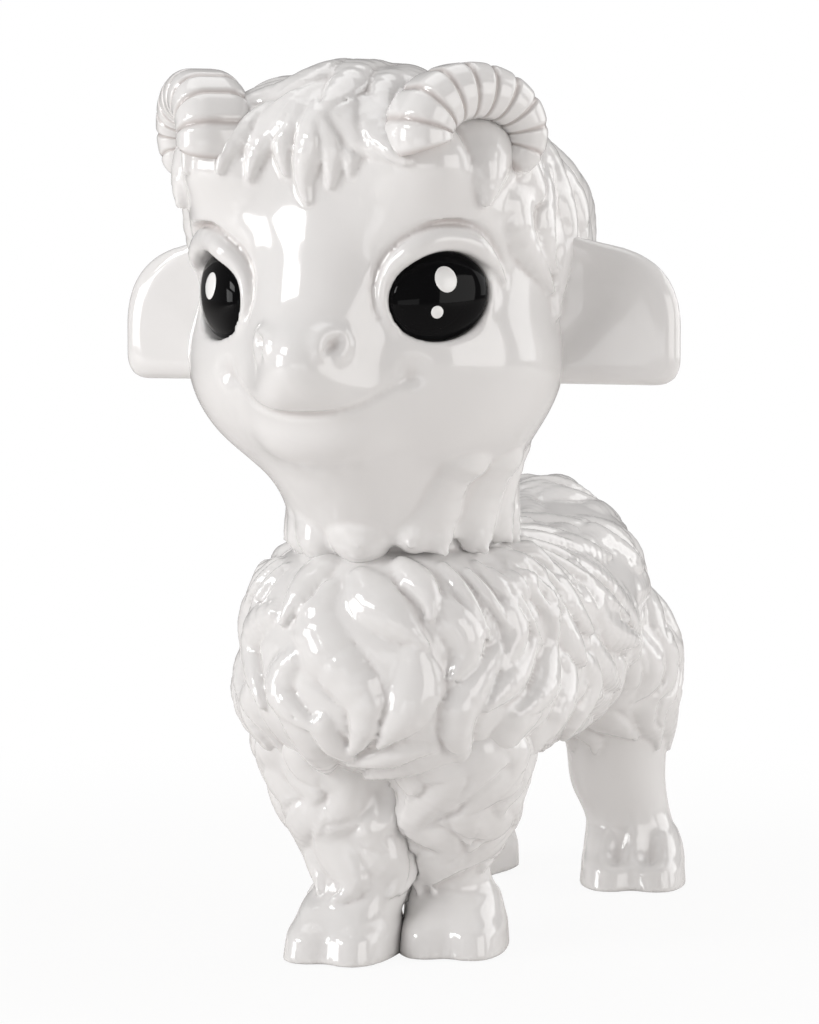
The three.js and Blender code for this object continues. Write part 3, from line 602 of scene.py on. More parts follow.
class Bench:
    """Places pieces on the frame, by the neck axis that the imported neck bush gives."""

    def __init__(self) -> None:
        """Finds the neck axis and sets the fineness of the forms."""
        low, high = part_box("neck_bush")
        self.neck = np.array([(low.x + high.x) / 2, (low.y + high.y) / 2, 0.0])
        self.glazer = Glazer()
        self.coarse = 1.0

    def piece(self, name: str, points: Array, faces: Array, pool_and_shade: Array | None = None) -> bpy.types.Object:
        """Makes an object from points in millimetres.

        Args:
            name: the piece's name.
            points: points from the neck axis.
            faces: corner numbers, one face per row.
            pool_and_shade: how deep the glaze pools at each point, which also paints shade into its creases.

        Returns:
            The new object.
        """
        mesh = bpy.data.meshes.new(name)
        mesh.from_pydata((np.asarray(points) * MM + self.neck).tolist(), [], np.asarray(faces).tolist())
        mesh.shade_smooth()
        if pool_and_shade is not None:
            layer = mesh.attributes.new("pool_and_shade", "FLOAT", "POINT")
            layer.data.foreach_set("value", pool_and_shade.astype(np.float32))
        item = bpy.data.objects.new(name, mesh)
        bpy.context.scene.collection.objects.link(item)
        return item

    def cast(self, name: str, form: Field, relax: int = 3, depth: float = 1.0) -> bpy.types.Object:
        """Makes a piece from a sculpted form, with the glaze pooled and shade painted into its creases.

        Args:
            name: the piece's name.
            form: the form.
            relax: rounds of smoothing.
            depth: strength of the pooling and of the painted crease shade.

        Returns:
            The new object.
        """
        points, faces = form.skin(relax)
        places = (points - form.low) / form.step
        # Creases come out low in the blurred distances and take pooled glaze with painted shade
        fine, wide = (read_block(form.hollows(width), places) for width in POOL_AND_SHADE_BLURS)
        pool_and_shade = -POOL_AND_SHADE_WEIGHTS[0] * fine - POOL_AND_SHADE_WEIGHTS[1] * wide - POOL_AND_SHADE_LEAST
        return self.piece(name, points, faces, np.clip(pool_and_shade, 0, 1) * depth)

    def dress(self, item: bpy.types.Object, finish: Finish, body: Body, *nodes: str) -> None:
        """Gives a piece its finish, body, slot and the nodes that it stands for."""
        item.data.materials.clear()
        item.data.materials.append(self.glazer.material(finish))
        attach(item, body.value)
        if nodes:
            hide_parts(*nodes)
        LOG.info("%s: %d faces, for %s", item.name, len(item.data.polygons), ", ".join(nodes))


# Wool


# Outline of a lock, in shares of its half width, height and run
LOCK_POINTS = 10
ROOT_SHARE = 0.55
WIDENING = 1.5
TIP_POWER = 2.2
TIP_ROUNDING = 0.8
LEAST_SHARE = 0.08
TIP_FALL = 0.35
FLATTEST = 3.2

# Carved edges of a lock: their gap, the angles of the sine that fades them, and their rounding
EDGE_GAP = 0.2
EDGE_FADE = (0.2, 2.9)
EDGE_ROUNDING = 0.8

# Sink of a lock's root, as a share of its height, and radius of its carved outline
FLEECE_CUT = (0.5, 0.6)
CHEST_CUT = (0.45, 0.95)
SPIKE_CUT = (0.3, 0.7)
TROUSER_CUT = (0.5, 0.75)
CAP_CUT = (0.5, 0.75)
TAIL_CUT = (0.5, 0.6)

# Scattering of seeds: tries, how near the surface they start, and the room round laid locks
SEED_TRIES = 40000
SEED_BAND = 4.0
LAID_ROOM = 0.62


@dataclass
class Lock:
    """One lock: its strand, and the lines that are carved along its two edges."""

    strand: Rope
    edges: list
    depth: float

    def lay(self, form: Field, blend: float) -> None:
        """Carves the outline into what is there already and lays the lock on it."""
        for edge in self.edges:
            fade = np.sin(np.linspace(*EDGE_FADE, len(edge)))
            form.cut(Rope(form.drop(edge, 4), self.depth * fade), EDGE_ROUNDING)
        form.add(self.strand, blend)


@dataclass
class Wool:
    """Locks of wool: tapered strands that lie half sunk along a surface."""

    form: Field
    rng: np.random.Generator
    laid: Array = field(default_factory=lambda: np.zeros((0, 3)))

    def lock(self, path: Array, half_width: float, height: float, sink: float, depth: float) -> Lock:
        """Makes one lock along a path on the surface.

        Args:
            path: points near the surface, from root to tip.
            half_width: widest half width.
            height: how far the lock's back stands out.
            sink: how low the root starts, as a share of the height.
            depth: radius of the carved outline.

        Returns:
            The lock.
        """
        points = self.form.drop(through(path, LOCK_POINTS))
        normals = self.form.normals(points)
        t = np.linspace(0, 1, len(points))
        taper = np.minimum(ROOT_SHARE + WIDENING * t, 1.0) * (1 - t**TIP_POWER) ** TIP_ROUNDING
        width = half_width * np.clip(taper, LEAST_SHARE, 1)
        rise = height * (1 - sink + sink * np.minimum(1, 2 * t)) * (1 - TIP_FALL * t**3)
        radius = np.minimum((width**2 + rise**2) / (2 * rise), FLATTEST * half_width)
        side = unit(np.cross(normals, np.gradient(points, axis=0)))
        edges = [points + way * side * (width + EDGE_GAP)[:, None] for way in (1, -1)]
        return Lock(Rope(points + normals * (rise - radius)[:, None], radius), edges, depth)

    def follow(self, seeds: Array, flow: Callable, length: Array, steps: int = 6) -> Array:
        """Walks along a flow on the surface from each seed.

        Args:
            seeds: start points.
            flow: gives a direction at each point.
            length: length of each walk.
            steps: points per walk after the first.

        Returns:
            The walks, as walk, point, coordinate.
        """
        points = self.form.drop(seeds)
        walks = [points]
        for _ in range(steps):
            normals = self.form.normals(points)
            way = flow(points)
            way = unit(way - normals * np.sum(way * normals, 1, keepdims=True))
            points = self.form.drop(points + way * (length / steps)[:, None], 3)
            walks.append(points)
        return np.stack(walks, 1)

    def scatter(self, low: tuple, high: tuple, spacing: float, keep: Callable) -> Array:
        """Spreads seeds evenly over the surface.

        Args:
            low: lowest corner of the space to fill.
            high: highest corner.
            spacing: least distance between seeds.
            keep: says which points are wanted.

        Returns:
            The seeds.
        """
        tries = self.rng.uniform(low, high, (SEED_TRIES, 3))
        tries = tries[np.abs(self.form.at(tries)) < SEED_BAND]
        tries = self.form.drop(tries)
        tries = tries[keep(tries)]
        room = (LAID_ROOM * spacing) ** 2
        chosen = np.zeros((0, 3))
        for point in tries:
            if len(self.laid) and np.min(np.sum((self.laid - point) ** 2, 1)) < room:
                continue
            if not len(chosen) or np.min(np.sum((chosen - point) ** 2, 1)) > spacing**2:
                chosen = np.vstack([chosen, point])
        return chosen

    def keep_clear(self, paths: list) -> None:
        """Remembers paths of laid locks, which scattered seeds then avoid."""
        self.laid = np.vstack([through(path, 12) for path in paths])


@dataclass(frozen=True)
class Mass:
    """A rounded mass: its place, half sizes, fillet and the room that the fillet is worked out in."""

    place: tuple
    half: tuple
    blend: float
    room: float

    def join(self, form: Field, place: Array) -> None:
        """Blends the mass onto a form at a place."""
        form.add(Blob(place, self.half), self.blend, self.room)


def pillar(radius: float, low: float, high: float) -> Loft:
    """A round bar on the neck axis between two heights."""
    return Loft([(height, 0, 0, radius, radius) for height in (low, high)])


# Torso


@dataclass
class Barrel:
    """The torso's bare form, in stations of y, half width, top and bottom."""

    front: float = -39.0
    rear: float = 122.0
    stations: tuple = ((-4, 40.5, 102, 38), (56, 38, 102, 43), (98, 37, 109, 50))
    plan_power: float = 2.4
    side_power: float = 2.5
    reach_half: float = 48.0
    reach_heights: tuple = (34.0, 114.0)

    def reach(self) -> tuple[Array, Array]:
        """Lowest and highest corner."""
        low, high = self.reach_heights
        return (np.array([-self.reach_half, self.front - 2, low]),
                np.array([self.reach_half, self.rear + 2, high]))

    def distance(self, x: Array, y: Array, z: Array) -> Array:
        """Distances at a block of points."""
        rows = np.asarray(self.stations, float)
        numbers = np.arange(len(rows))
        ease = np.interp(y, rows[:, 0], numbers)
        ease = np.floor(ease) + smooth_step(ease - np.floor(ease))
        half, top, bottom = (np.interp(ease, numbers, rows[:, k]) for k in (1, 2, 3))
        middle, length = (self.front + self.rear) / 2, (self.rear - self.front) / 2
        p, q = self.plan_power, self.side_power
        plan = (np.abs(y - middle) / length) ** p + (np.abs(x) / half) ** p
        rise = np.abs(z - (top + bottom) / 2) / ((top - bottom) / 2)
        shell = (plan ** (q / p) + rise**q) ** (1 / q)
        step = float(x.ravel()[1] - x.ravel()[0])
        slope = np.sqrt(sum(g * g for g in np.gradient(shell.astype(np.float32), step)))
        return np.clip((shell - 1) / np.maximum(slope, 1e-4), -FAR, FAR)


@dataclass(frozen=True)
class Strand:
    """A lock drawn by eye, in degrees round the form and a second measure down it.

    A lock drawn in degrees round the form and a second measure down it.
    """

    start: tuple
    end: tuple
    half_width: float
    bow: float = 0.0
    swing: float = 0.0
    lift: float = 1.0

    def path(self, mirror: int = 1) -> tuple[Array, Array]:
        """Runs from root to tip, with one bow and one swing to each side.

        Args:
            mirror: -1 for the other side.

        Returns:
            The angles in radians and the second measures.
        """
        t = np.linspace(0, 1, 7)
        turn = self.start[0] + (self.end[0] - self.start[0]) * t
        turn = turn + self.bow * np.sin(np.pi * t) + self.swing * np.sin(2 * np.pi * t)
        return np.radians(mirror * turn), self.start[1] + (self.end[1] - self.start[1]) * t


def both_sides(middle: tuple, paired: tuple) -> list:
    """Strands with the side that they lie on: those as drawn, then the paired ones mirrored."""
    return [(strand, 1) for strand in middle + paired] + [(strand, -1) for strand in paired]


CHEST_LOCKS = (
    Strand((-6, 90), (0, 52), 5.8, 5, -5), Strand((3, 93), (20, 78), 5.2),
    Strand((13, 96), (21, 84), 3.8, 3), Strand((25, 86), (26, 70), 4.6, 5),
    Strand((18, 75), (9, 55), 5.4, 4), Strand((41, 76), (33, 47), 4.4, -9),
    Strand((21, 53), (-1, 50), 3.6), Strand((29, 52), (0, 46), 3.6),
    Strand((-21, 84), (-22, 62), 4.4, -11, -3), Strand((-12, 74), (-5, 58), 4.2, -8),
    Strand((-4, 60), (1, 51), 3.6, -3), Strand((-10, 97), (-15, 82), 4.4),
    Strand((-30, 66), (-24, 46), 5.0, -5), Strand((-40, 62), (-36, 45), 4.6, 4),
    Strand((-14, 60), (-13, 46), 4.6, 3))
FLANK_LOCKS = (
    Strand((52, 76), (35, 63), 4.4), Strand((55, 64), (46, 46), 4.6, -7),
    Strand((43, 86), (40, 72), 4.2, 4), Strand((64, 75), (45, 61), 4.4, 5),
    Strand((74, 71), (70, 50), 4.4, -2, 5), Strand((97, 68), (102, 50), 4.4, 3, 5),
    Strand((66, 56), (56, 47), 4.2, -3), Strand((43, 90), (67, 92), 3.8),
    Strand((48, 97), (66, 91), 3.8), Strand((70, 99), (79, 92), 3.8),
    Strand((109, 91), (134, 76), 4.2, -6), Strand((82, 92), (97, 76), 4.2, -6),
    Strand((111, 81), (144, 69), 4.2, -6), Strand((64, 89), (64, 77), 4.2),
    Strand((74, 81), (89, 69), 4.2, -2), Strand((104, 72), (135, 59), 4.2, -3))

SHOULDERS = Mass((0, 0, 83), (35, 35.5, 20), 8.0, 10.0)
BIB = Mass((0, 0, 63), (39, 36, 17), 6.0, 10.0)
RUMP = Mass((0, 100, 92), (14, 22, 16.5), 8.0, 10.0)


@dataclass
class Torso:
    """The fleeced body with its trough and spigot under the neck."""

    bench: Bench
    seed: int = 11
    block: tuple = ((-51, -50, 32), (51, 132, 122))
    step: float = 0.8
    # Strength of the pooled glaze and painted crease shade
    pool_and_shade_strength: float = 0.6

    # Neck seat
    seat_height: float = 103.5
    seat_radius: float = 23.6
    seat_foot: float = 70.0
    trough_radius: float = 29.8
    trough_rounding: float = 1.5
    hem_height: float = 98.9
    spigot_radius: float = 15.0
    spigot_length: float = 16.0
    headroom: float = 20.0

    # Scattered locks
    wool_space: tuple = ((-48, -48, 40), (48, 130, 116))
    wool_foot: float = 43.0
    drawn_radius: float = 44.0
    lock_spacing: float = 8.8
    lock_length: float = 22.0
    lock_half_width: float = 4.8
    lock_height: float = 1.9
    lock_blend: float = 0.8

    # Lie of the wool: down the chest, back along the flanks, out from the neck, in waves
    chest_y: float = -35.0
    chest_fall: float = 1.15
    flank_run: float = 90.0
    flank_sweep: float = 1.1
    flank_lift: float = 0.4
    neck_ring: tuple = (30.0, 14.0)
    neck_pull: float = 1.4
    wave_size: float = 0.75
    wave_height: float = 27.0
    wave_run: float = 60.0
    wave_turns: float = 2.3

    # Locks drawn round an upright axis behind the neck
    lock_axis: float = 20.0
    chest_height: float = 3.0
    chest_widening: float = 1.2

    # Spikes under the skirt of the head
    spikes: int = 34
    spike_angles: tuple = (42, 318)
    spike_start: float = 97.0
    spike_length: tuple = (15, 24)
    spike_half_width: tuple = (1.7, 2.5)
    spike_height: float = 1.7
    spike_lie: tuple = (0.0, 0.5, -0.6)

    def flow(self, p: Array) -> Array:
        """Lie of the wool at points."""
        back = smooth_step((p[:, 1] - self.chest_y) / self.flank_run)
        inner, width = self.neck_ring
        near = 1 - smooth_step((np.hypot(p[:, 0], p[:, 1]) - inner) / width)
        fall = -self.chest_fall + self.flank_lift * back
        down = np.stack([0 * back, self.flank_sweep * back, fall], 1)
        down = unit(down + self.neck_pull * self.outward(p) * near[:, None])
        turn = np.arctan2(p[:, 0], self.lock_axis - p[:, 1])
        phase = p[:, 2] / self.wave_height + 0.5 * np.sin(self.wave_turns * turn) + p[:, 1] / self.wave_run
        side = np.cross(self.form.normals(p), down)
        return down + side * (self.wave_size * np.sin(2 * np.pi * phase))[:, None]

    def outward(self, p: Array) -> Array:
        """Level directions away from the neck axis."""
        return unit(np.stack([p[:, 0], p[:, 1], 0 * p[:, 0]], 1))

    def fall(self, p: Array) -> Array:
        """Lie of the spikes: straight out from the neck, back and down."""
        return self.outward(p) + self.spike_lie

    def wanted(self, p: Array) -> Array:
        """Points that take scattered locks: away from the neck and above the belly."""
        return (np.hypot(p[:, 0], p[:, 1]) > self.drawn_radius) & (p[:, 2] > self.wool_foot)

    def on_skin(self, strand: Strand, mirror: int) -> Array:
        """Places a strand of angles round the chest and heights on the bare form."""
        turn, height = strand.path(mirror)
        start = np.stack([0 * turn, 0 * turn + self.lock_axis, height], 1)
        way = np.stack([np.sin(turn), -np.cos(turn), 0 * turn], 1)
        return self.form.hit(start, way)

    def collar(self, rng: np.random.Generator) -> Array:
        """Seeds of the spikes behind and beside the neck, just under the skirt of the head."""
        turn = np.radians(np.linspace(*self.spike_angles, self.spikes) + rng.uniform(-3, 3, self.spikes))
        radius = self.trough_radius + rng.uniform(0, 5, self.spikes)
        start = np.stack([radius * np.sin(turn), -radius * np.cos(turn), 0 * turn + self.spike_start], 1)
        return self.form.drop(start)

    def fleece(self) -> list:
        """Plans the locks on the bare form: scattered ones, those drawn one by one, and the spikes.

        Returns:
            The locks, in the order in which they are laid.
        """
        rng = np.random.default_rng(self.seed)
        wool = Wool(self.form, rng)
        laid = [
            (lock.half_width, self.on_skin(lock, mirror))
            for lock, mirror in both_sides(CHEST_LOCKS, FLANK_LOCKS)]
        wool.keep_clear([path for _, path in laid])
        seeds = wool.scatter(*self.wool_space, self.lock_spacing, self.wanted)
        length = self.lock_length * rng.uniform(0.8, 1.2, len(seeds))
        walks = wool.follow(seeds, self.flow, length)
        sizes = rng.uniform(0.85, 1.12, len(seeds))
        locks = [
            wool.lock(walk, self.lock_half_width * size, self.lock_height * size, *FLEECE_CUT)
            for walk, size in zip(walks, sizes)]
        locks += [
            wool.lock(path, self.chest_widening * width, self.chest_height, *CHEST_CUT)
            for width, path in laid]
        walks = wool.follow(self.collar(rng), self.fall, rng.uniform(*self.spike_length, self.spikes))
        locks += [
            wool.lock(walk, rng.uniform(*self.spike_half_width), self.spike_height, *SPIKE_CUT)
            for walk in walks]
        return locks

    def build(self) -> None:
        """Sculpts the torso and puts it on the frame."""
        self.form = Field(*self.block, self.step * self.bench.coarse)
        self.form.add(Barrel())
        for mass in (SHOULDERS, BIB, RUMP):
            mass.join(self.form, mass.place)
        for lock in self.fleece():
            lock.lay(self.form, self.lock_blend)
        self.neck_seat()
        item = self.bench.cast("fleeced_torso", self.form, depth=self.pool_and_shade_strength)
        self.bench.dress(item, WHITE_GLAZE, Body.BODY, "body_shell")

    def neck_seat(self) -> None:
        """Turns the trough under the skirt and adds the seat and the spigot."""
        top = self.seat_height + self.spigot_length
        trough = pillar(self.trough_radius, self.hem_height, top + self.headroom)
        self.form.cut(trough, self.trough_rounding)
        self.form.add(pillar(self.seat_radius, self.seat_foot, self.seat_height))
        self.form.add(pillar(self.spigot_radius, self.seat_foot, top))


# Legs


@dataclass(frozen=True)
class Limb:
    """What a pair of legs shares.

    Stations are rows of height, offset to the outside, offset to the rear, half width and half length.
    """

    stations: tuple
    wool_from: float
    top_y: float
    hoof_half: tuple
    groove: float = 1.0
    hollow: float = 0.0
    notch: tuple = ()


FORELEG = Limb(
    ((0, 0, 0, 9, 10), (10, -1.1, 2, 11.4, 11), (14, -2.4, 3, 11.6, 10.8), (19, -3.4, 3, 11.6, 10.4),
     (27, -1.6, 3, 13.4, 11.6), (33, 0.5, 3, 15.6, 14.0), (38.6, 2.2, 3, 16.6, 15.2),
     (46, 3.5, 2.5, 18.0, 17.5), (51, 4.4, 2, 18.4, 18.4), (63, 2.5, 2.0, 14.0, 14.0)),
    wool_from=27, top_y=-8.0, hoof_half=(12.6, 17.0), notch=(2.5, -21.0, 39.0))
HIND_LEG = Limb(
    ((0, 0, 0, 9, 10), (10, -0.5, 2, 12.8, 12.5), (16, -2.0, 3, 11.6, 11.5), (26, -4.8, 2, 12.6, 13.0),
     (38, -4.8, 0, 13.4, 16.0), (52, -4.0, -7, 16.5, 21.5), (66, -4.8, -11, 18.0, 24.5),
     (84, -8.0, -12, 12.0, 16.0)),
    wool_from=50, top_y=105.0, hoof_half=(13.6, 17.0), groove=1.5, hollow=2.5)


@dataclass
class Leg:
    """A leg with a cloven hoof."""

    bench: Bench
    name: str
    limb: Limb
    side: Side
    hoof: tuple
    yaw: float
    seed: int
    step: float = 0.7
    room: float = 34.0
    lean_heights: tuple = (10.0, 52.0)
    hoof_height: float = 9.0
    toe_offset: float = 0.44
    toe_width: float = 0.6
    toe_power: float = 2.4
    toe_blend: float = 3.5
    groove_blend: float = 1.8
    groove_radii: tuple = (1.5, 1.4, 1.3, 1.1, 0.8, 0.4)
    notch_half: tuple = (4.5, 7.0, 8.5)
    notch_blend: float = 3.0
    hollow_shares: tuple = (1.0, 1.6, 2.3)
    hollow_offset: float = 1.7
    hollow_inset: float = 5.4
    hollow_rise: float = 4.0
    hollow_blend: float = 4.0
    sole: float = 0.05
    clearance: float = 0.1
    lock_spacing: float = 8.2
    lock_length: float = 19.0
    lock_half_width: float = 5.4
    lock_height: float = 2.2
    lock_blend: float = 0.9
    wave_size: float = 1.1
    wave_height: float = 21.0
    wave_turns: float = 2.2
    # Strength of the pooled glaze and painted crease shade
    pool_and_shade_strength: float = 0.6

    def build(self, neighbour: Field | None = None) -> Field:
        """Sculpts the leg and puts it on the frame.

        Args:
            neighbour: a form that the leg leans on and stops short of.

        Returns:
            The leg's form.
        """
        rows = np.array(self.rows())
        low = (*(rows[:, 1:3].min(0) - self.room), -ROOM)
        high = (*(rows[:, 1:3].max(0) + self.room), rows[-1, 0] + ROOM)
        form = self.form = Field(low, high, self.step * self.bench.coarse)
        form.add(Loft(rows))
        self.toes()
        if self.limb.hollow:
            self.pastern_hollows()
        self.trousers(rows[-1, 0])
        gx, gy, gz = form.everywhere()
        form.values = np.maximum(form.values, self.sole - gz)
        if self.limb.notch:
            form.cut(Blob(self.limb.notch, self.notch_half), self.notch_blend)
        if neighbour:
            grid = np.stack(np.broadcast_arrays(gx, gy, gz), -1)
            form.values = np.maximum(form.values, self.clearance - neighbour.at(grid))
        item = self.bench.cast(self.name + "_cast", form, depth=self.pool_and_shade_strength)
        self.bench.dress(item, WHITE_GLAZE, Body.BODY, self.name)
        return form

    def rows(self) -> list:
        """Sections of the leg, which leans from its hoof to its place under the body."""
        x, y = self.hoof
        low, high = self.lean_heights
        rows = []
        for z, out, aft, half, long in self.limb.stations:
            lean = smooth_step((z - low) / (high - low)) * (self.limb.top_y - y)
            rows.append((z, x + self.side.value * out, y + aft + lean, half, long))
        return rows

    def from_hoof(self, across: float, forward: float, up: float) -> Array:
        """A point from the hoof's middle, turned with the hoof."""
        cos, sin = math.cos(self.yaw), math.sin(self.yaw)
        x, y = self.hoof
        return np.array([x + across * cos + forward * sin, y + across * sin - forward * cos, up])

    def toes(self) -> None:
        """Adds two rounded toes with a cleft between them."""
        half, long = self.limb.hoof_half
        top = self.hoof_height
        # Sections of a toe: height, share of the full size and lean to the rear
        sections = (
            (-4, 1.02, 0), (0, 1.0, 0), (3.5, 0.98, 0.5), (7, 0.94, 1.3), (top, 0.87, 2.4),
            (top + 4, 0.76, 4.0))
        for way in (-1, 1):
            rows = []
            for z, grow, lean in sections:
                x, y, _ = self.from_hoof(way * half * self.toe_offset * grow, -lean, z)
                rows.append((z, x, y, half * self.toe_width * grow, long * grow))
            self.form.add(Loft(rows, self.toe_power, self.yaw), self.toe_blend)
        cleft = [
            self.from_hoof(0, long + 0.9, 0), self.from_hoof(0, long - 0.2, 5),
            self.from_hoof(0, long - 2.5, top - 1)]
        radii = self.limb.groove * np.array(self.groove_radii)
        self.form.cut(Rope(through(cleft, len(radii)), radii), self.groove_blend)

    def pastern_hollows(self) -> None:
        """Presses a pair of hollows into the pastern above the hoof."""
        size = self.limb.hollow
        forward = self.limb.hoof_half[1] - self.hollow_inset
        for way in (-1, 1):
            place = self.from_hoof(
                way * self.hollow_offset * size, forward, self.hoof_height + self.hollow_rise)
            self.form.cut(Blob(place, size * np.array(self.hollow_shares)), self.hollow_blend)

    def flow(self, p: Array) -> Array:
        """Lie of the wool: down the leg, in waves."""
        turn = self.wave_turns * np.arctan2(p[:, 0], p[:, 1])
        wave = self.wave_size * np.sin(2 * np.pi * p[:, 2] / self.wave_height + turn)
        down = np.array([0, 0, -1.0])
        return down + np.cross(self.form.normals(p), down) * wave[:, None]

    def trousers(self, top: float) -> None:
        """Lays locks of wool down the upper leg, from below its top."""
        rng = np.random.default_rng(self.seed)
        wool = Wool(self.form, rng)
        low, high = self.form.low, self.form.low + self.form.step * self.form.count
        seeds = wool.scatter(
            low, high, self.lock_spacing, lambda p: (p[:, 2] > self.limb.wool_from) & (p[:, 2] < top - 3))
        walks = wool.follow(seeds, self.flow, self.lock_length * rng.uniform(0.8, 1.2, len(seeds)))
        locks = [wool.lock(walk, self.lock_half_width, self.lock_height, *TROUSER_CUT) for walk in walks]
        for lock in locks:
            lock.lay(self.form, self.lock_blend)


# Head


FORELOCKS = (
    Strand((3, 44), (0, 68), 3.3, 0, 2), Strand((-5, 42), (-7, 61), 3.1, -3),
    Strand((10, 45), (7, 64), 3.0), Strand((15, 47), (13, 61), 2.8),
    Strand((-8, 38), (-27, 63), 3.6, -4), Strand((-16, 34), (-38, 64), 3.6, -8),
    Strand((-9, 44), (-19, 63), 3.2, -2), Strand((11, 28), (29, 62), 4.6, -9),
    Strand((22, 38), (26, 60), 3.6, -3), Strand((4, 26), (-30, 44), 4.6, 4),
    Strand((20, 16), (4, 50), 4.4), Strand((44, 22), (24, 48), 4.4, -8))
TEMPLE_LOCKS = (
    Strand((57, 45), (51, 69), 6.4, 0, 0, 1.3), Strand((70, 52), (78, 69), 4.6, 0, 0, 1.4),
    Strand((80, 60), (85, 93), 4.2, -14, -3), Strand((86, 64), (87, 88), 3.4, -7),
    Strand((107, 58), (106, 78), 4.0, 1), Strand((98, 60), (97, 80), 3.6, -2),
    Strand((95, 78), (88, 101), 3.6), Strand((112, 74), (104, 100), 4.0))

# Places of the skirt's locks, in degrees round the neck from the face to the goat's left
HEM_LOCKS = (-69, -46, -22, 6, 25, 43, 66, 90, 113, 137, 160, 184, 208, 231, 252, 272)

# Masses of the head, placed from its centre by side, forward and up, and the fillet that most share
SKULL_FILLET = (9.0, 14.0)
SKULL = Mass((0, -8, 10), (45, 52, 35), *SKULL_FILLET)
CHEEKS = Mass((0, 4, -18), (44.8, 39, 32), *SKULL_FILLET)
CHIN = Mass((0, 33.5, -33), (14.5, 11.5, 9), *SKULL_FILLET)
CROWN = Mass((0, 12, 31), (18, 32, 18), *SKULL_FILLET)
BROW = Mass((0, 34.5, -6), (13, 12, 16), *SKULL_FILLET)
THROAT = Mass((0, 12, -43), (16, 17, 12), *SKULL_FILLET)
TEMPLE = Mass((20, 19, 20), (18, 20, 18), *SKULL_FILLET)
FOREHEAD = Mass((14, 18, 27), (15, 20, 16), *SKULL_FILLET)
HORN_BASE = Mass((24.5, 34, 26.5), (8.5, 7, 6.5), *SKULL_FILLET)
HORN_PAD = Mass((31, 18, 25.5), (8, 9, 10), 4.0, 8.0)
MUZZLE = Mass((0, 36.4, -18.5), (23, 19.4, 13.5), 8.0, 14.0)
BRIDGE = Mass((0, 34.5, -6), (14, 12.5, 17), 8.0, 14.0)

# Lowest angle of the wool from the crown, at angles round from the face, in degrees
HAIRLINE = ((0, 58), (41, 58), (69, 70), (91, 90), (120, 114), (180, 130))


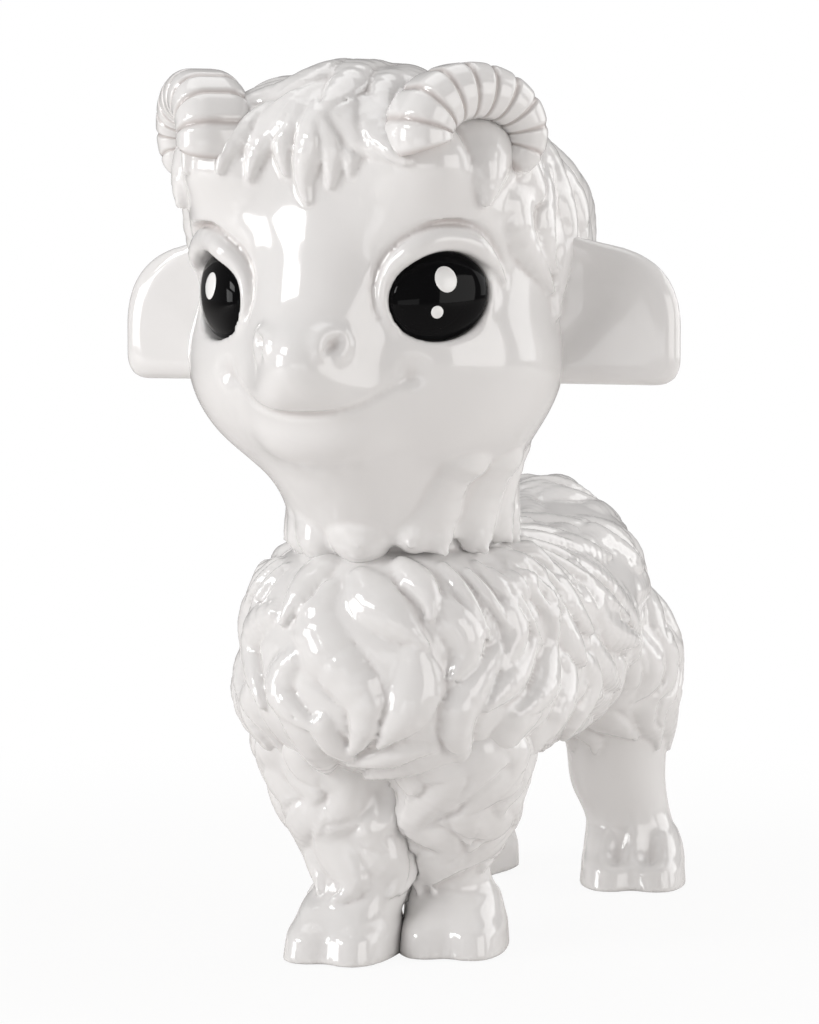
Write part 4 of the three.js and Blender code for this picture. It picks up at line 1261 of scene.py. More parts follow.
@dataclass
class Head:
    """Head, neck, face and wool cap in one casting."""

    bench: Bench
    seed: int = 5
    block: tuple = ((-58, -78, 94), (58, 52, 218))
    step: float = 0.75
    centre: tuple = (0.0, -12.0, 161.5)

    # Neck and its open foot
    neck_radius: float = 25.6
    neck_top: float = 150.0
    neck_blend: float = 17.0
    neck_room: float = 18.0
    hem_height: float = 99.5
    underside: float = 105.6
    skirt_inner: float = 24.2
    bore: float = 18.2
    bore_top: float = 128.0
    below: float = 80.0

    # Snout
    nose_side: tuple = (8.8, -62.0, 147.3)
    nose_angle: float = math.radians(50)
    nose_round: tuple = (90.0, 90.0, 110.0)
    nose_lean: float = 9.0
    nose_blend: float = 4.0

    # Skirt, flat at the front right and bold elsewhere
    bold_from: float = 5.0
    bold_run: float = 40.0
    skirt_root: tuple = (111.0, 11.0)
    skirt_tip: float = 100.5
    skirt_unevenness: float = 2.5
    skirt_sway: float = 0.12
    skirt_flare: float = 0.7
    skirt_width: tuple = (3.5, 1.4)
    skirt_rise: tuple = (0.9, 1.0)
    skirt_thickest: float = 9.0
    skirt_blend: float = 0.8

    # Wool cap
    cap_space: tuple = ((-56, -74, 120), (56, 50, 216))
    cap_foot: float = 125.0
    cap_edge: float = 0.2
    cap_slope: float = 0.8
    cap_lean: tuple = (0.0, 0.2, -0.4)
    wave_size: float = 0.6
    wave_down: float = 7.0
    wave_round: float = 3.0
    cap_spacing: float = 13.0
    cap_length: float = 31.0
    cap_half_width: float = 8.4
    cap_height: float = 3.0
    cap_blend: float = 1.2
    drawn_widening: float = 1.4
    drawn_height: tuple = (0.4, 1.1)
    drawn_sink: float = 0.4
    drawn_depth: float = 0.65

    # Smile: half its angle round the face, its middle's angle from the crown and the rise of its ends
    smile_half: float = 31.0
    smile_down: float = 122.5
    smile_rise: float = 6.5
    smile_power: float = 2.6
    smile_radii: tuple = (0.2, 0.7)
    smile_blend: float = 1.2
    dimple_place: tuple = (1.2, -1.3, 0.2)
    dimple_half: tuple = (2.2, 2.2, 2.6)
    dimple_blend: float = 3.5

    # Nostrils
    wing_half: tuple = (3.3, 3.0)
    wing_angles: tuple = (-0.9, 3.6)
    wing_radii: tuple = (0.8, 0.4)
    wing_sink: float = 0.5
    wing_blend: float = 2.4
    slit: tuple = ((1.4, 1.2), (0.0, 0.0), (-1.6, -1.6))
    slit_out: float = 0.3
    slit_blend: float = 1.0
    nostril_radii: tuple = (0.9, 1.4, 0.6)

    def build(self) -> None:
        """Sculpts the head and puts it on the frame."""
        self.form = Field(*self.block, self.step * self.bench.coarse)
        self.masses()
        self.skirt()
        self.cap()
        self.face()
        self.form.cut(pillar(self.skirt_inner, self.below, self.underside))
        self.form.cut(pillar(self.bore, self.below, self.bore_top))
        item = self.bench.cast("woolly_head", self.form)
        self.bench.dress(item, WHITE_GLAZE, Body.HEAD, "head_shell")

    def join(self, mass: Mass, form: Field, side: int = 1) -> None:
        """Blends a mass onto a form of the head, on one of its sides."""
        across, forward, rise = mass.place
        mass.join(form, np.array(self.centre) + [side * across, -forward, rise])

    def masses(self) -> None:
        """Blends the masses of skull, cheeks, chin, wool and snout, and the neck."""
        for mass in (SKULL, CHEEKS, CHIN, CROWN, BROW, THROAT):
            self.join(mass, self.form)
        for side in Side:
            for mass in (TEMPLE, FOREHEAD, HORN_BASE):
                self.join(mass, self.form, side.value)
        for side in Side:
            self.join(HORN_PAD, self.form, side.value)
        self.snout()
        neck = pillar(self.neck_radius, self.hem_height + 3, self.neck_top)
        self.form.add(neck, self.neck_blend, self.neck_room)

    def snout(self) -> None:
        """Blends on a muzzle and a bridge, narrowed to the nose by a nearly flat plane on each side."""
        high = self.form.low + self.form.step * (self.form.count - 1)
        snout = Field(self.form.low, high, self.form.step)
        for mass in (MUZZLE, BRIDGE):
            self.join(mass, snout)
        for side in Side:
            way = np.array([side.value * math.sin(self.nose_angle), -math.cos(self.nose_angle), 0])
            centre = np.array(self.nose_side) * [side.value, 1, 1] - way * self.nose_round[0]
            centre[2] -= self.nose_lean
            snout.keep(Blob(centre, self.nose_round), self.nose_blend)
        self.form.values = soft_min(self.form.values, snout.values, self.nose_blend)

    def skirt(self) -> None:
        """Hangs pointed locks round the foot of the neck."""
        rng = np.random.default_rng(self.seed + 1)
        locks = [self.hem_lock(degrees, rng) for degrees in HEM_LOCKS]
        for lock in locks:
            self.form.add(lock, self.skirt_blend)

    def hem_lock(self, degrees: float, rng: np.random.Generator) -> Rope:
        """Shapes one lock of the skirt.

        Args:
            degrees: its place round the neck.
            rng: gives its tip, sway and width.

        Returns:
            The lock's strand.
        """
        t = np.linspace(0, 1, 7)
        up = np.array([0, 0, 1])
        bold = smooth_step((degrees - self.bold_from) / self.bold_run)
        tip = self.skirt_tip - rng.uniform(0, self.skirt_unevenness)
        height = np.linspace(self.skirt_root[0] + self.skirt_root[1] * bold, tip, len(t))
        sway = self.skirt_sway * rng.uniform(-1, 1) * np.sin(3 * t)
        angle = math.radians(degrees - 90) + sway
        out = np.stack([np.cos(angle), np.sin(angle), 0 * t], 1)
        foot = self.hem_height + 5
        level = foot + bold * np.maximum(height - foot, 0)
        skin = self.form.hit(level[:, None] * up, out) * [1, 1, 0]
        path = skin + height[:, None] * up + self.skirt_flare * t[:, None] * out
        full = (self.skirt_width[0] + self.skirt_width[1] * bold) * rng.uniform(0.9, 1.1)
        width = full * np.minimum(1, 0.3 + 1.3 * t) * (1 - t**4) ** 0.6 + 0.5
        rise = (self.skirt_rise[0] + self.skirt_rise[1] * bold) * np.minimum(1, 0.1 + 1.4 * t)
        thick = np.minimum((width**2 + rise**2) / (2 * rise), self.skirt_thickest)
        return Rope(path + out * (rise - thick)[:, None], thick)

    def polar(self, p: Array) -> tuple[Array, Array]:
        """Angles from the crown and round from the face."""
        d = unit(p - np.array(self.centre))
        return np.arccos(np.clip(d[:, 2], -1, 1)), np.abs(np.arctan2(d[:, 0], -d[:, 1]))

    def on_rays(self, turn: Array, down: Array) -> Array:
        """Points of the form at angles round from the face and down from the crown."""
        way = np.stack([np.sin(down) * np.sin(turn), -np.sin(down) * np.cos(turn), np.cos(down)], 1)
        return self.form.hit(np.tile(self.centre, (len(turn), 1)), way)

    def on_skin(self, strand: Strand, mirror: int) -> Array:
        """Places a strand on the bare head."""
        turn, down = strand.path(mirror)
        return self.on_rays(turn, np.radians(down))

    def wanted(self, p: Array) -> Array:
        """Points of the wool cap that take scattered locks, above the hairline."""
        down, turn = self.polar(p)
        hairline = np.radians(np.interp(np.degrees(turn), *np.transpose(HAIRLINE)))
        return (down < hairline - self.cap_edge) & (p[:, 2] > self.cap_foot)

    def flow(self, p: Array) -> Array:
        """Lie of the cap's wool: away from the crown, in waves."""
        d = p - np.array(self.centre)
        down, turn = self.polar(p)
        fall = np.stack([d[:, 0], d[:, 1], -self.cap_slope * np.hypot(d[:, 0], d[:, 1])], 1)
        fall = unit(fall + self.cap_lean)
        phase = self.wave_down * down + self.wave_round * turn * np.sign(p[:, 0])
        wave = self.wave_size * np.sin(phase)
        return fall + np.cross(self.form.normals(p), fall) * wave[:, None]

    def cap(self) -> None:
        """Lays locks of wool from the crown to the hairline and the nape."""
        rng = np.random.default_rng(self.seed)
        wool = Wool(self.form, rng)
        drawn = both_sides(FORELOCKS, TEMPLE_LOCKS)
        laid = [(strand, self.on_skin(strand, mirror)) for strand, mirror in drawn]
        wool.keep_clear([path for _, path in laid])
        seeds = wool.scatter(*self.cap_space, self.cap_spacing, self.wanted)
        walks = wool.follow(seeds, self.flow, self.cap_length * rng.uniform(0.8, 1.15, len(seeds)))
        locks = [wool.lock(walk, self.cap_half_width, self.cap_height, *CAP_CUT) for walk in walks]
        for strand, path in laid:
            slope, least = self.drawn_height
            height = (slope * strand.half_width + least) * strand.lift
            width, depth = self.drawn_widening * strand.half_width, self.drawn_depth * strand.lift
            locks.append(wool.lock(path, width, height, self.drawn_sink, depth))
        for lock in locks:
            lock.lay(self.form, self.cap_blend)

    def face(self) -> None:
        """Carves the eyes' sockets, the smile and the nostrils."""
        for side in Side:
            EyeFrame(side).socket(self.form)
        share = np.linspace(-1, 1, 13)
        down = self.smile_down - self.smile_rise * np.abs(share) ** self.smile_power
        smile = self.on_rays(np.radians(self.smile_half * share), np.radians(down))
        line = through(smile, 40)
        least, swell = self.smile_radii
        radius = least + swell * np.sin(np.linspace(0, np.pi, len(line))) ** 2
        self.form.cut(Rope(line, radius), self.smile_blend)
        for side, corner in ((Side.LEFT, smile[-1]), (Side.RIGHT, smile[0])):
            place = corner + np.array(self.dimple_place) * [side.value, 1, 1]
            self.form.cut(Blob(place, self.dimple_half), self.dimple_blend)
            self.nostril(side)

    def nostril(self, side: Side) -> None:
        """Raises the wing of a nostril and carves its slit."""
        spot = self.form.drop(np.array([self.nose_side]) * [side.value, 1, 1])[0]
        out = self.form.normals(spot[None])[0]
        up = np.array([0, 0, 1.0])
        across = unit(np.cross(up, out)) * side.value
        angle = np.linspace(*self.wing_angles, 9)[:, None]
        wide, tall = self.wing_half
        wing = self.form.drop(spot + across * wide * np.cos(angle) + up * tall * np.sin(angle))
        least, swell = self.wing_radii
        radius = least + swell * np.sin(np.linspace(0, 3.1, len(wing)))
        self.form.add(Rope(wing - self.wing_sink * out, radius), self.wing_blend)
        slit = np.array([spot + across * aside + up * rise for aside, rise in self.slit])
        self.form.cut(Rope(slit + self.slit_out * out, np.array(self.nostril_radii)), self.slit_blend)


# Eyes


@dataclass
class EyeFrame:
    """An eye's place: its centre and its outward, sideways and upward directions."""

    side: Side
    centre: tuple = (26.6, -43.4, 157.8)
    facing: float = 0.72
    tilt: float = 0.28
    half: tuple = (11.9, 9.8, 4.2)

    # The right eye is a little nearer to the nose and turned out more
    nearer: float = 0.5
    askance: float = 0.06

    # Lid: its first angle and sweep in degrees, and its thickness along the way
    lid_start: float = 205.0
    lid_sweep: float = 213.0
    lid_thickness: tuple = ((0, 0.6), (0.3, 1.8), (0.55, 2.9), (0.8, 2.4), (1, 0.4))
    lid_tail: float = 0.4
    lid_blend: float = 0.8
    crease_share: float = 0.4
    crease_blend: float = 1.0

    # Dish round the eye, rim of the socket, and gaps round the dome
    dish_place: tuple = (3.0, 1.0, 11.0)
    dish_width: float = 3.2
    dish_depth: float = 10.5
    dish_blend: float = 3.0
    rim_reach: float = 1.07
    rim_radius: float = 1.2
    rim_out: float = -1.0
    rim_blend: float = 2.0
    bore_gap: float = 0.1
    bore_length: float = 14.0
    bore_depth: float = 0.5
    bore_rounding: float = 0.5
    seat_gap: float = 0.15

    def __post_init__(self) -> None:
        """Works out the directions."""
        s = self.side.value
        odd = 1 if self.side is Side.RIGHT else 0
        self.spot = np.array([s * (self.centre[0] - odd * self.nearer), *self.centre[1:]])
        facing = self.facing + odd * self.askance
        level = np.array([s * math.cos(facing), math.sin(facing), 0])
        up = np.array([0, 0, 1.0])
        cos, sin = math.cos(self.tilt), math.sin(self.tilt)
        self.outward = np.array([s * math.sin(facing), -math.cos(facing), 0])
        self.axes = np.array([level * cos + up * sin, up * cos - level * sin, self.outward])

    def point(self, across: float, up: float, out: float) -> Array:
        """A point from the eye's centre."""
        return self.spot + np.array([across, up, out]) @ self.axes

    def ring(self, angle: Array, reach: Array, out: Array) -> Array:
        """Points round the eye's edge, at shares of the eye's size."""
        angle, reach, out = np.broadcast_arrays(angle, reach, out)
        across, up = self.half[0] * reach * np.cos(angle), self.half[1] * reach * np.sin(angle)
        return self.spot + np.stack([across, up, out], 1) @ self.axes

    def skin_height(self, form: Field, angle: Array, reach: Array) -> Array:
        """How far the face stands out at points round the eye."""
        start = self.ring(angle, reach, -6.0)
        skin = form.hit(start, np.tile(self.outward, (len(start), 1)), 18.0)
        return skin @ self.outward - self.spot @ self.outward

    def socket(self, form: Field) -> None:
        """Shapes the rim, the lid with its crease, and the hollow for the eye."""
        a, b, c = self.half
        t = np.linspace(0, 1, 21)
        angle = np.radians(self.lid_start - self.lid_sweep * t)
        thick = spline(*np.transpose(self.lid_thickness), t)
        tail = np.clip((t - 0.8) / 0.2, 0, 1) ** 1.5
        reach = 1 + (thick - 0.2) / b + self.lid_tail * tail
        fold = reach + (thick + 0.6) / b
        lid_height = np.clip(self.skin_height(form, angle, reach), -1.0, 2.2) + 0.25 * thick
        fold_height = np.clip(self.skin_height(form, angle, fold), -3.0, 4.0) + 0.2
        lid, crease = self.ring(angle, reach, lid_height), self.ring(angle, fold, fold_height)
        dish_half = (a + self.dish_width, b + self.dish_width, self.dish_depth)
        form.cut(Blob(self.point(*self.dish_place), dish_half, self.axes), self.dish_blend)
        rim = self.ring(np.linspace(0, 2 * np.pi, 37), self.rim_reach, self.rim_out)
        form.add(Rope(rim, np.full(len(rim), self.rim_radius)), self.rim_blend)
        form.cut(Rope(crease[2:-2], self.crease_share * thick[2:-2]), self.crease_blend)
        form.add(Rope(lid, thick), self.lid_blend)
        bore_half = (a + self.bore_gap, b + self.bore_gap)
        bore = Tube(self.point(0, 0, -self.bore_depth), self.axes, bore_half, self.bore_length)
        form.cut(bore, self.bore_rounding)
        seat_half = np.array([a, b, c]) + self.seat_gap
        form.cut(Blob(self.spot, seat_half, self.axes))


def round_skin(point_at: Callable, rings: int, sides: int) -> tuple[Array, Array]:
    """Makes a closed skin from rings of points between two poles.

    Args:
        point_at: gives the point at an angle from the first pole and an angle round.
        rings: steps from pole to pole.
        sides: points in a ring.

    Returns:
        Points and faces, facing out.
    """
    points = []
    for r in range(1, rings):
        points += [point_at(math.pi * r / rings, 2 * math.pi * k / sides) for k in range(sides)]
    first, last = len(points), len(points) + 1
    points = np.array(points + [point_at(0, 0), point_at(math.pi, 0)])
    base = (rings - 2) * sides
    faces = []
    for r in range(rings - 2):
        for k in range(sides):
            a, b = r * sides + k, r * sides + (k + 1) % sides
            faces.append((a, a + sides, b + sides, b))
    for a in range(sides):
        b = (a + 1) % sides
        faces += [(first, a, b), (last, base + b, base + a)]
    corner, second, third = (points[k] for k in faces[0][:3])
    if np.dot(np.cross(second - corner, third - corner), corner - points.mean(0)) < 0:
        faces = [tuple(reversed(face)) for face in faces]
    return points, np.array(faces, dtype=object)


@dataclass(frozen=True)
class Glint:
    """A white lens let into an eye: its node, place on the dome, half width and height over width."""

    node: str
    across: float
    up: float
    radius: float
    tall: float
    half_thickness: float = 0.35
    sink: float = 0.1

    def lens(self, place: EyeFrame) -> tuple[Array, Array]:
        """Makes the lens on the dome of an eye.

        Args:
            place: the eye.

        Returns:
            Points and faces.
        """
        a, b, c = place.half

        def point_at(down: float, turn: float) -> Array:
            """A point of the lens."""
            share = self.radius * math.sin(down)
            dx, dy = self.across + share * math.cos(turn), self.up + self.tall * share * math.sin(turn)
            dome = c * math.sqrt(max(0.0, 1 - (dx / a) ** 2 - (dy / b) ** 2))
            return place.point(dx, dy, dome + self.half_thickness * math.cos(down) - self.sink)

        return round_skin(point_at, 8, 28)


@dataclass
class Eye:
    """A black dome with white glints let into it."""

    bench: Bench
    name: str
    side: Side
    glints: tuple

    def build(self) -> None:
        """Makes the dome and its glints."""
        place = EyeFrame(self.side)
        a, b, c = place.half

        def point_at(down: float, turn: float) -> Array:
            """A point of the dome."""
            return place.point(
                a * math.sin(down) * math.cos(turn), b * math.sin(down) * math.sin(turn), c * math.cos(down))

        dome = self.bench.piece(self.name + "_dome", *round_skin(point_at, 24, 48))
        self.bench.dress(dome, BLACK_GLAZE, Body.HEAD, self.name)
        for glint in self.glints:
            inlay = self.bench.piece(glint.node + "_inlay", *glint.lens(place))
            self.bench.dress(inlay, GLINT_GLAZE, Body.HEAD, glint.node)


# Ears


@dataclass
class Ear:
    """A thick slab ear with a squared end and a cupped, folded front."""

    bench: Bench
    name: str
    side: Side
    step: float = 0.6
    root: tuple = (34.0, -8.0)
    back: float = 0.12
    bend: float = 2.2
    tip: float = 70.7
    top: tuple = (175.5, 166.0)
    top_power: float = 0.8
    bottom: float = 137.0
    half_thickness: float = 4.2
    reach_y: tuple = (-22.0, 14.0)
    reach_z: tuple = (130.0, 178.0)

    # Rounding of the outline's upper and lower corner and of the slab's edge
    upper_rounding: float = 15.0
    lower_rounding: float = 6.0
    edge_rounding: float = 5.0

    # Cup of the front, and the fold across it: depth, then place and spread as shares of the length
    cup: tuple = (3.2, 0.25, 0.42)
    rim_power: float = 8.0
    fold: tuple = (0.5, 0.36, 0.26)
    fold_foot: tuple = (46.0, 145.5)
    fold_slope: float = 0.95
    fold_softness: float = 2.6

    def reach(self) -> tuple[Array, Array]:
        """Lowest and highest corner."""
        xs = sorted((self.side.value * self.root[0], self.side.value * (self.tip + 1)))
        low, high = zip(xs, self.reach_y, self.reach_z)
        return np.array(low), np.array(high)

    def distance(self, x: Array, y: Array, z: Array) -> Array:
        """Distances at a block of points."""
        out = self.side.value * x
        run = out - self.root[0]
        share = run / (self.tip - self.root[0])
        front = -(y - self.root[1] - math.tan(self.back) * run + self.bend * (1 - share) ** 2)
        top = self.top[0] + (self.top[1] - self.top[0]) * np.clip(share, 0, 1) ** self.top_power
        mid = (z - (top + self.bottom) / 2) / ((top - self.bottom) / 2)
        outline = soft_max((z - top) * 0.97, out - self.tip + 0 * z, self.upper_rounding)
        outline = soft_max(outline, self.bottom - z + 0 * out, self.lower_rounding)
        rim = np.clip(1 - np.maximum(mid, 0) ** self.rim_power, 0, 1)
        depth, place, spread = self.cup
        cup = depth * np.exp(-((share - place) / spread) ** 2) * rim
        depth, place, spread = self.fold
        over = (z - self.fold_foot[1]) - self.fold_slope * (out - self.fold_foot[0])
        crease = 1 - np.tanh(over / self.fold_softness)
        cup = cup - depth * crease * np.exp(-((share - place) / spread) ** 2)
        thick = self.half_thickness * (1.05 - 0.15 * share)
        wall = np.maximum(front - thick + cup, -front - thick)
        return soft_max(outline + 0 * wall, wall, self.edge_rounding)

    def build(self) -> None:
        """Sculpts the ear and puts it on the frame."""
        low, high = self.reach()
        form = Field(low - 2, high + 2, self.step * self.bench.coarse)
        form.add(self)
        item = self.bench.cast(self.name + "_slab", form, 4)
        self.bench.dress(item, WHITE_GLAZE, Body.HEAD, self.name)


# Horns


# Sizes of a horn in millimetres and radians, and where it stands
HORN_INPUTS = {
    "Arc Radius": 11.4, "Start Angle": 3.4, "Sweep Angle": -4.1, "Radial Size": 13.6, "Axial Size": 18.0,
    "Corner": 6.4, "Tip Share": 0.5, "Ribs": 10.0, "Groove Depth": 0.08,
    "Stretch": (1.17, 0.9, 1.0), "Turn": (0.0, 0.0, 0.0), "Place": (0.0, 0.0, 0.0)}


@dataclass
class HornTree:
    """Geometry Nodes that sweep a rounded section along an arc, with grooves round it."""

    material: bpy.types.Material
    points: int = 260
    corner_points: int = 10
    groove_power: float = 16.0
    taper_power: float = 2.2
    tip_power: float = 40.0
    # Strength of the pooled glaze and painted shade in the grooves
    groove_pool_and_shade: float = 0.75

    def __post_init__(self) -> None:
        """Builds the tree with its named inputs."""
        self.tree = bpy.data.node_groups.new("ribbed_horn", "GeometryNodeTree")
        face = self.tree.interface
        self.keys = {}
        for name, value in HORN_INPUTS.items():
            kind = "NodeSocketVector" if isinstance(value, tuple) else "NodeSocketFloat"
            socket = face.new_socket(name=name, in_out="INPUT", socket_type=kind)
            socket.default_value = value
            self.keys[name] = socket.identifier
        face.new_socket(name="Geometry", in_out="OUTPUT", socket_type="NodeSocketGeometry")
        self.wire()

    def wire(self) -> None:
        """Joins the nodes from the arc to the finished mesh."""
        wiring = Wiring(self.tree)
        given = wiring.add("NodeGroupInput").outputs
        arc = wiring.add("GeometryNodeCurveArc", {
            "Resolution": self.points, "Radius": given["Arc Radius"],
            "Start Angle": given["Start Angle"], "Sweep Angle": given["Sweep Angle"]})
        stretch = wiring.add("GeometryNodeTransform", {
            "Geometry": arc.outputs["Curve"], "Scale": given["Stretch"]})
        run = wiring.add("GeometryNodeSplineParameter").outputs["Factor"]
        scale, groove = self.section_scale(wiring, given, run)
        # The grooves are stored as pooled glaze with painted shade, which darkens them
        store = wiring.add("GeometryNodeStoreNamedAttribute", data_type="FLOAT", domain="POINT")
        wiring.feed(store, {
            "Geometry": stretch.outputs["Geometry"], "Name": "pool_and_shade",
            "Value": wiring.math("MULTIPLY", groove, self.groove_pool_and_shade)})
        radius = wiring.add("GeometryNodeSetCurveRadius", {
            "Curve": store.outputs["Geometry"], "Radius": scale})
        section = wiring.add("GeometryNodeCurvePrimitiveQuadrilateral", {
            "Width": given["Radial Size"], "Height": given["Axial Size"]})
        fillet = wiring.add("GeometryNodeFilletCurve", mode="POLY")
        wiring.feed(fillet, {
            "Curve": section.outputs["Curve"], "Radius": given["Corner"],
            "Count": self.corner_points, "Limit Radius": True})
        sweep = wiring.add("GeometryNodeCurveToMesh", {
            "Curve": radius.outputs["Curve"], "Profile Curve": fillet.outputs["Curve"],
            "Scale": wiring.add("GeometryNodeInputRadius").outputs[0], "Fill Caps": True})
        move = wiring.add("GeometryNodeTransform", {
            "Geometry": sweep.outputs["Mesh"], "Rotation": given["Turn"], "Translation": given["Place"]})
        smooth = wiring.add("GeometryNodeSetShadeSmooth", {"Geometry": move.outputs["Geometry"]})
        real = wiring.add("GeometryNodeRealizeInstances", {"Geometry": smooth.outputs["Geometry"]})
        paint = wiring.add("GeometryNodeSetMaterial", {
            "Geometry": real.outputs["Geometry"], "Material": self.material})
        wiring.add("NodeGroupOutput", {"Geometry": paint.outputs["Geometry"]})

    def section_scale(self, wiring: Wiring, given: object, run: bpy.types.NodeSocket) -> tuple:
        """Works out the section's size along the horn.

        Args:
            wiring: the tree's wiring.
            given: the tree's inputs.
            run: share of the way from root to tip.

        Returns:
            The scale of the section, and how deep in a groove a point lies.
        """
        turns = wiring.math("MULTIPLY", given["Ribs"], math.pi)
        wave = wiring.math("COSINE", wiring.math("MULTIPLY", run, turns))
        groove = wiring.math("POWER", wiring.math("ABSOLUTE", wave), self.groove_power)
        thin = wiring.math("SUBTRACT", 1.0, given["Tip Share"])
        taper = wiring.math("MULTIPLY", wiring.math("POWER", run, self.taper_power), thin)
        body = wiring.math("SUBTRACT", 1.0, taper)
        close = wiring.math("SUBTRACT", 1.0, wiring.math("POWER", run, self.tip_power))
        round_tip = wiring.math("POWER", wiring.math("MAXIMUM", close, 0.0), 0.5)
        size = wiring.math("MULTIPLY", body, round_tip)
        cut = wiring.math("SUBTRACT", 1.0, wiring.math("MULTIPLY", groove, given["Groove Depth"]))
        return wiring.math("MULTIPLY", size, cut), groove

    def grow(self, bench: Bench, name: str, **sizes: object) -> bpy.types.Object:
        """Runs the tree once.

        Args:
            bench: the bench that places the piece.
            name: the piece's name.
            sizes: values for named inputs.

        Returns:
            A plain mesh object.
        """
        holder = bpy.data.objects.new(name + "_tree", bpy.data.meshes.new(name + "_tree"))
        bpy.context.scene.collection.objects.link(holder)
        modifier = holder.modifiers.new("horn", "NODES")
        modifier.node_group = self.tree
        for label, value in sizes.items():
            modifier[self.keys[label]] = value
        graph = bpy.context.evaluated_depsgraph_get()
        mesh = bpy.data.meshes.new_from_object(holder.evaluated_get(graph))
        holder.modifiers.remove(modifier)
        bpy.data.objects.remove(holder)
        places = np.empty(len(mesh.vertices) * 3)
        mesh.vertices.foreach_get("co", places)
        places = places.reshape(-1, 3) * MM + bench.neck
        mesh.vertices.foreach_set("co", places.ravel())
        mesh.name = name
        item = bpy.data.objects.new(name, mesh)
        bpy.context.scene.collection.objects.link(item)
        return item


@dataclass
class Horn:
    """A thick ribbed horn that curls over to its tip."""

    bench: Bench
    tree: HornTree
    name: str
    side: Side
    centre: tuple = (33.5, -41.0, 193.2)
    facing: float = 0.84

    def build(self) -> None:
        """Grows the horn and puts it on the frame."""
        s = self.side.value
        turn = self.facing if self.side is Side.LEFT else math.pi - self.facing
        item = self.tree.grow(
            self.bench, self.name + "_ribbed",
            Turn=(math.pi / 2, 0.0, turn), Place=(s * self.centre[0], *self.centre[1:]))
        self.bench.dress(item, WHITE_GLAZE, Body.HEAD, self.name)


# Tail


@dataclass
class Tail:
    """A short woolly tail on the rump, curled up in an arc and ringed with rows of locks."""

    bench: Bench
    seed: int = 3
    block: tuple = ((-14, 104, 82), (14, 134, 116))
    step: float = 0.6
    root: tuple = (0.0, 115.2, 93.0)
    arc_half: tuple = (11.5, 15.0)
    arc_angle: float = 1.2
    radius: float = 6.2
    points: int = 9
    rows: tuple = (0.15, 0.45, 0.7)
    row_locks: int = 6
    lock_ring: float = 6.0
    lock_run: tuple = (0.0, 2.0, 11.0)
    lock_half_width: float = 3.0
    lock_height: float = 1.3
    lock_drop: float = 2.0
    lock_blend: float = 1.0

    def build(self) -> None:
        """Sculpts the tail and puts it on the frame."""
        form = Field(*self.block, self.step * self.bench.coarse)
        t = np.linspace(0, 1, self.points)
        bend = self.arc_angle * t
        aft, up = self.arc_half
        path = np.array(self.root) + np.stack([0 * t, aft * np.sin(bend), up * (1 - np.cos(bend))], 1)
        form.add(Rope(path, self.radius * np.sin(np.pi * (0.2 + 0.72 * t)) ** 0.7))
        wool = Wool(form, np.random.default_rng(self.seed))
        locks = []
        for row, share in enumerate(self.rows):
            centre = path[int(share * (self.points - 1))]
            for k in range(self.row_locks):
                angle = 2 * math.pi * (k + 0.5 * row) / self.row_locks
                ring = self.lock_ring * np.array([math.cos(angle), math.sin(angle), 0])
                root = centre + ring - [0, 0, self.lock_drop]
                walk = root + np.linspace(0, 1, 3)[:, None] * self.lock_run
                locks.append(wool.lock(walk, self.lock_half_width, self.lock_height, *TAIL_CUT))
        for lock in locks:
            lock.lay(form, self.lock_blend)
        item = self.bench.cast("tail_tuft", form)
        self.bench.dress(item, WHITE_GLAZE, Body.BODY, "tail")


# Studio


@dataclass(frozen=True)
class SoftBox:
    """A soft box: where it hangs, what it faces, its size, power and tint, in metres and watts."""

    name: str
    place: tuple
    aim: tuple
    size: tuple
    watts: float
    tint: tuple = (1, 1, 1)

    def hang(self) -> None:
        """Adds the lamp."""
        data = bpy.data.lights.new(self.name, "AREA")
        data.shape = "RECTANGLE"
        data.size, data.size_y = self.size
        data.energy, data.color = self.watts, self.tint
        lamp = bpy.data.objects.new(self.name, data)
        lamp.location = self.place
        way = Vector(self.aim) - Vector(self.place)
        lamp.rotation_euler = way.to_track_quat("-Z", "Y").to_euler()
        bpy.context.scene.collection.objects.link(lamp)


SOFT_BOXES = (
    SoftBox("key_box", (-0.74, -0.9, 0.62), (0, 0, 0.12), (0.56, 0.26), 5.6),
    SoftBox("top_box", (-0.12, 0.08, 1.15), (0, 0, 0.1), (0.9, 0.9), 3.5),
    SoftBox("side_box", (1.05, -0.33, 0.3), (0, -0.09, 0.14), (0.76, 0.58), 3.3, (1, 0.985, 0.97)),
    SoftBox("rim_box", (0.85, 0.65, 0.5), (0, 0.05, 0.07), (0.9, 0.9), 4.6),
    SoftBox("low_box", (-0.95, -0.72, 0.24), (0, 0, 0.03), (0.5, 0.3), 3.2),
    SoftBox("fill_box", (0.28, -1.1, 0.08), (0, 0, 0.02), (0.9, 0.14), 0.5))


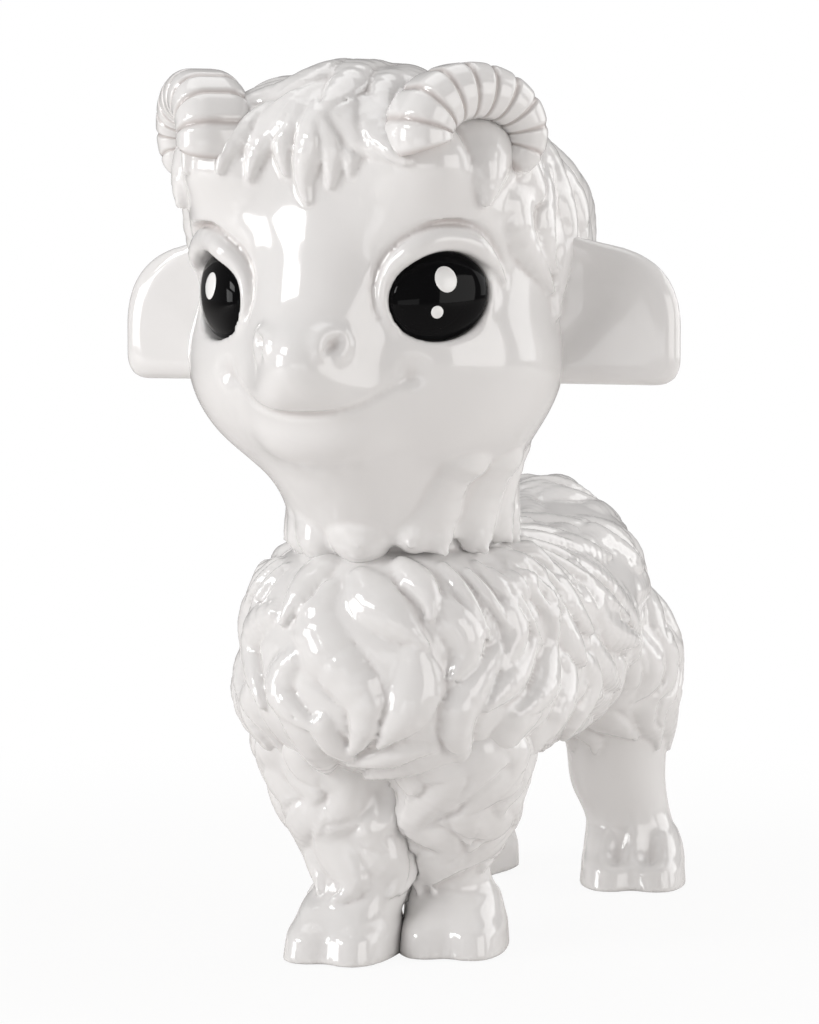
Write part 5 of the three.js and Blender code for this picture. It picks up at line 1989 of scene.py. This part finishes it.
@dataclass
class Studio:
    """Pale floor, soft boxes and the camera at the photograph's angle."""

    bench: Bench
    azimuth: float = math.radians(22)
    distance: float = 0.8
    height: float = 0.1655
    sensor: float = 36.0
    focal_pixels: float = 3352.0
    horizon: float = 262.0
    axis_column: float = 401.0
    frame_size: tuple = (819, 1024)
    clip: tuple = (0.05, 20)
    sky_level: float = 0.27
    sky_tint: tuple = (1.0, 0.965, 0.95)
    floor_half: float = 3.0
    floor_gap: float = 0.0002
    floor_colour: tuple = (0.82, 0.8, 0.785)
    floor_roughness: float = 0.8
    floor_specular: float = 0.1
    fade_start: float = 0.08
    fade_end: float = 0.34
    least_white: float = 0.92

    def camera(self) -> None:
        """Sets the camera."""
        data = bpy.data.cameras.new("camera")
        data.sensor_width = self.sensor
        width, height = self.frame_size
        data.lens = self.focal_pixels / height * self.sensor
        eye = bpy.data.objects.new("camera", data)
        bpy.context.scene.collection.objects.link(eye)
        way = np.array([math.sin(self.azimuth), -math.cos(self.azimuth), 0])
        eye.location = Vector(self.bench.neck + way * self.distance + [0, 0, self.height])
        pitch = math.atan((height / 2 - self.horizon) / self.focal_pixels)
        swing = math.atan((width / 2 - self.axis_column) / self.focal_pixels)
        eye.rotation_euler = (math.pi / 2 - pitch, 0, self.azimuth - swing)
        data.clip_start, data.clip_end = self.clip
        bpy.context.scene.camera = eye

    def floor(self) -> None:
        """Lays the floor, which is no part of the object."""
        mesh = bpy.data.meshes.new("floor")
        corners = [(-1, -1), (1, -1), (1, 1), (-1, 1)]
        reach = self.floor_half
        mesh.from_pydata([(reach * x, reach * y, 0) for x, y in corners], [], [(0, 1, 2, 3)])
        floor = bpy.data.objects.new("floor", mesh)
        floor.location.z = -self.floor_gap
        bpy.context.scene.collection.objects.link(floor)
        mesh.materials.append(self.floor_material())

    def world(self) -> None:
        """Sets the world, which the camera sees as white and the object as a dim pale sky."""
        world = bpy.data.worlds.new("studio")
        world.use_nodes = True
        bpy.context.scene.world = world
        wiring = Wiring(world.node_tree)
        rays = wiring.add("ShaderNodeLightPath").outputs
        seen = wiring.math("MAXIMUM", rays["Is Camera Ray"], rays["Is Transmission Ray"])
        colour = wiring.add("ShaderNodeMix", data_type="RGBA")
        wiring.feed(colour, {"A": (*self.sky_tint, 1), "B": (1, 1, 1, 1), "Factor": seen})
        level = wiring.math("MULTIPLY_ADD", seen, 1 - self.sky_level, self.sky_level)
        wiring.feed(world.node_tree.nodes["Background"], {
            "Color": colour.outputs["Result"], "Strength": level})

    def floor_material(self) -> bpy.types.Material:
        """Makes a pale floor that runs out to white away from the object."""
        material = bpy.data.materials.new("pale_floor")
        material.use_nodes = True
        nodes = material.node_tree.nodes
        wiring = Wiring(material.node_tree)
        paint = nodes["Principled BSDF"]
        wiring.feed(paint, {
            "Base Color": (*self.floor_colour, 1), "Roughness": self.floor_roughness,
            "Specular IOR Level": self.floor_specular})
        place = wiring.add("ShaderNodeTexCoord").outputs["Object"]
        away = wiring.add("ShaderNodeVectorMath", operation="LENGTH")
        wiring.feed(away, {0: place})
        fade = wiring.add("ShaderNodeMapRange", interpolation_type="SMOOTHSTEP")
        wiring.feed(fade, {
            "Value": away.outputs["Value"], "From Min": self.fade_start, "From Max": self.fade_end,
            "To Min": self.least_white})
        rays = wiring.add("ShaderNodeLightPath").outputs
        seen = wiring.math("MULTIPLY", fade.outputs["Result"], rays["Is Camera Ray"])
        white = wiring.add("ShaderNodeEmission")
        mix = wiring.add("ShaderNodeMixShader", {
            0: seen, 1: paint.outputs["BSDF"], 2: white.outputs["Emission"]})
        wiring.feed(nodes["Material Output"], {"Surface": mix.outputs["Shader"]})
        return material

    def build(self) -> None:
        """Sets up camera, floor and light."""
        self.camera()
        self.floor()
        self.world()
        for soft_box in SOFT_BOXES:
            soft_box.hang()
        bpy.context.scene.view_settings.view_transform = "Standard"


def main() -> None:
    """Builds the figurine piece by piece."""
    logging.basicConfig(level=logging.INFO, format="%(message)s")
    bench = Bench()
    Studio(bench).build()
    Torso(bench).build()
    near = Leg(bench, "front_right_leg", FORELEG, Side.RIGHT, (-10.6, -9.5), 0.06, 22).build()
    Leg(bench, "front_left_leg", FORELEG, Side.LEFT, (11.2, 6.5), 0.24, 21).build(near)
    Leg(bench, "rear_left_leg", HIND_LEG, Side.LEFT, (24.5, 105.0), 0.30, 23).build()
    Leg(bench, "rear_right_leg", HIND_LEG, Side.RIGHT, (-26.0, 105.0), -0.20, 24).build()
    Tail(bench).build()
    Head(bench).build()
    tree = HornTree(bench.glazer.material(WHITE_GLAZE))
    for name, side in (("left", Side.LEFT), ("right", Side.RIGHT)):
        Ear(bench, name + "_ear", side).build()
        Horn(bench, tree, name + "_horn", side).build()
    left_glints = (
        Glint("left_eye_large_glint", 1.4, 3.6, 2.7, 1.15),
        Glint("left_eye_small_glint", -2.6, -2.8, 1.5, 1.0))
    right_glints = (Glint("right_eye_large_glint", -0.8, 2.6, 3.0, 1.1),)
    Eye(bench, "left_eye", Side.LEFT, left_glints).build()
    Eye(bench, "right_eye", Side.RIGHT, right_glints).build()
    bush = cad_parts["neck_bush"]
    bush.data.materials.clear()
    bush.data.materials.append(bench.glazer.material(CORK))


if __name__ == "__main__":
    main()
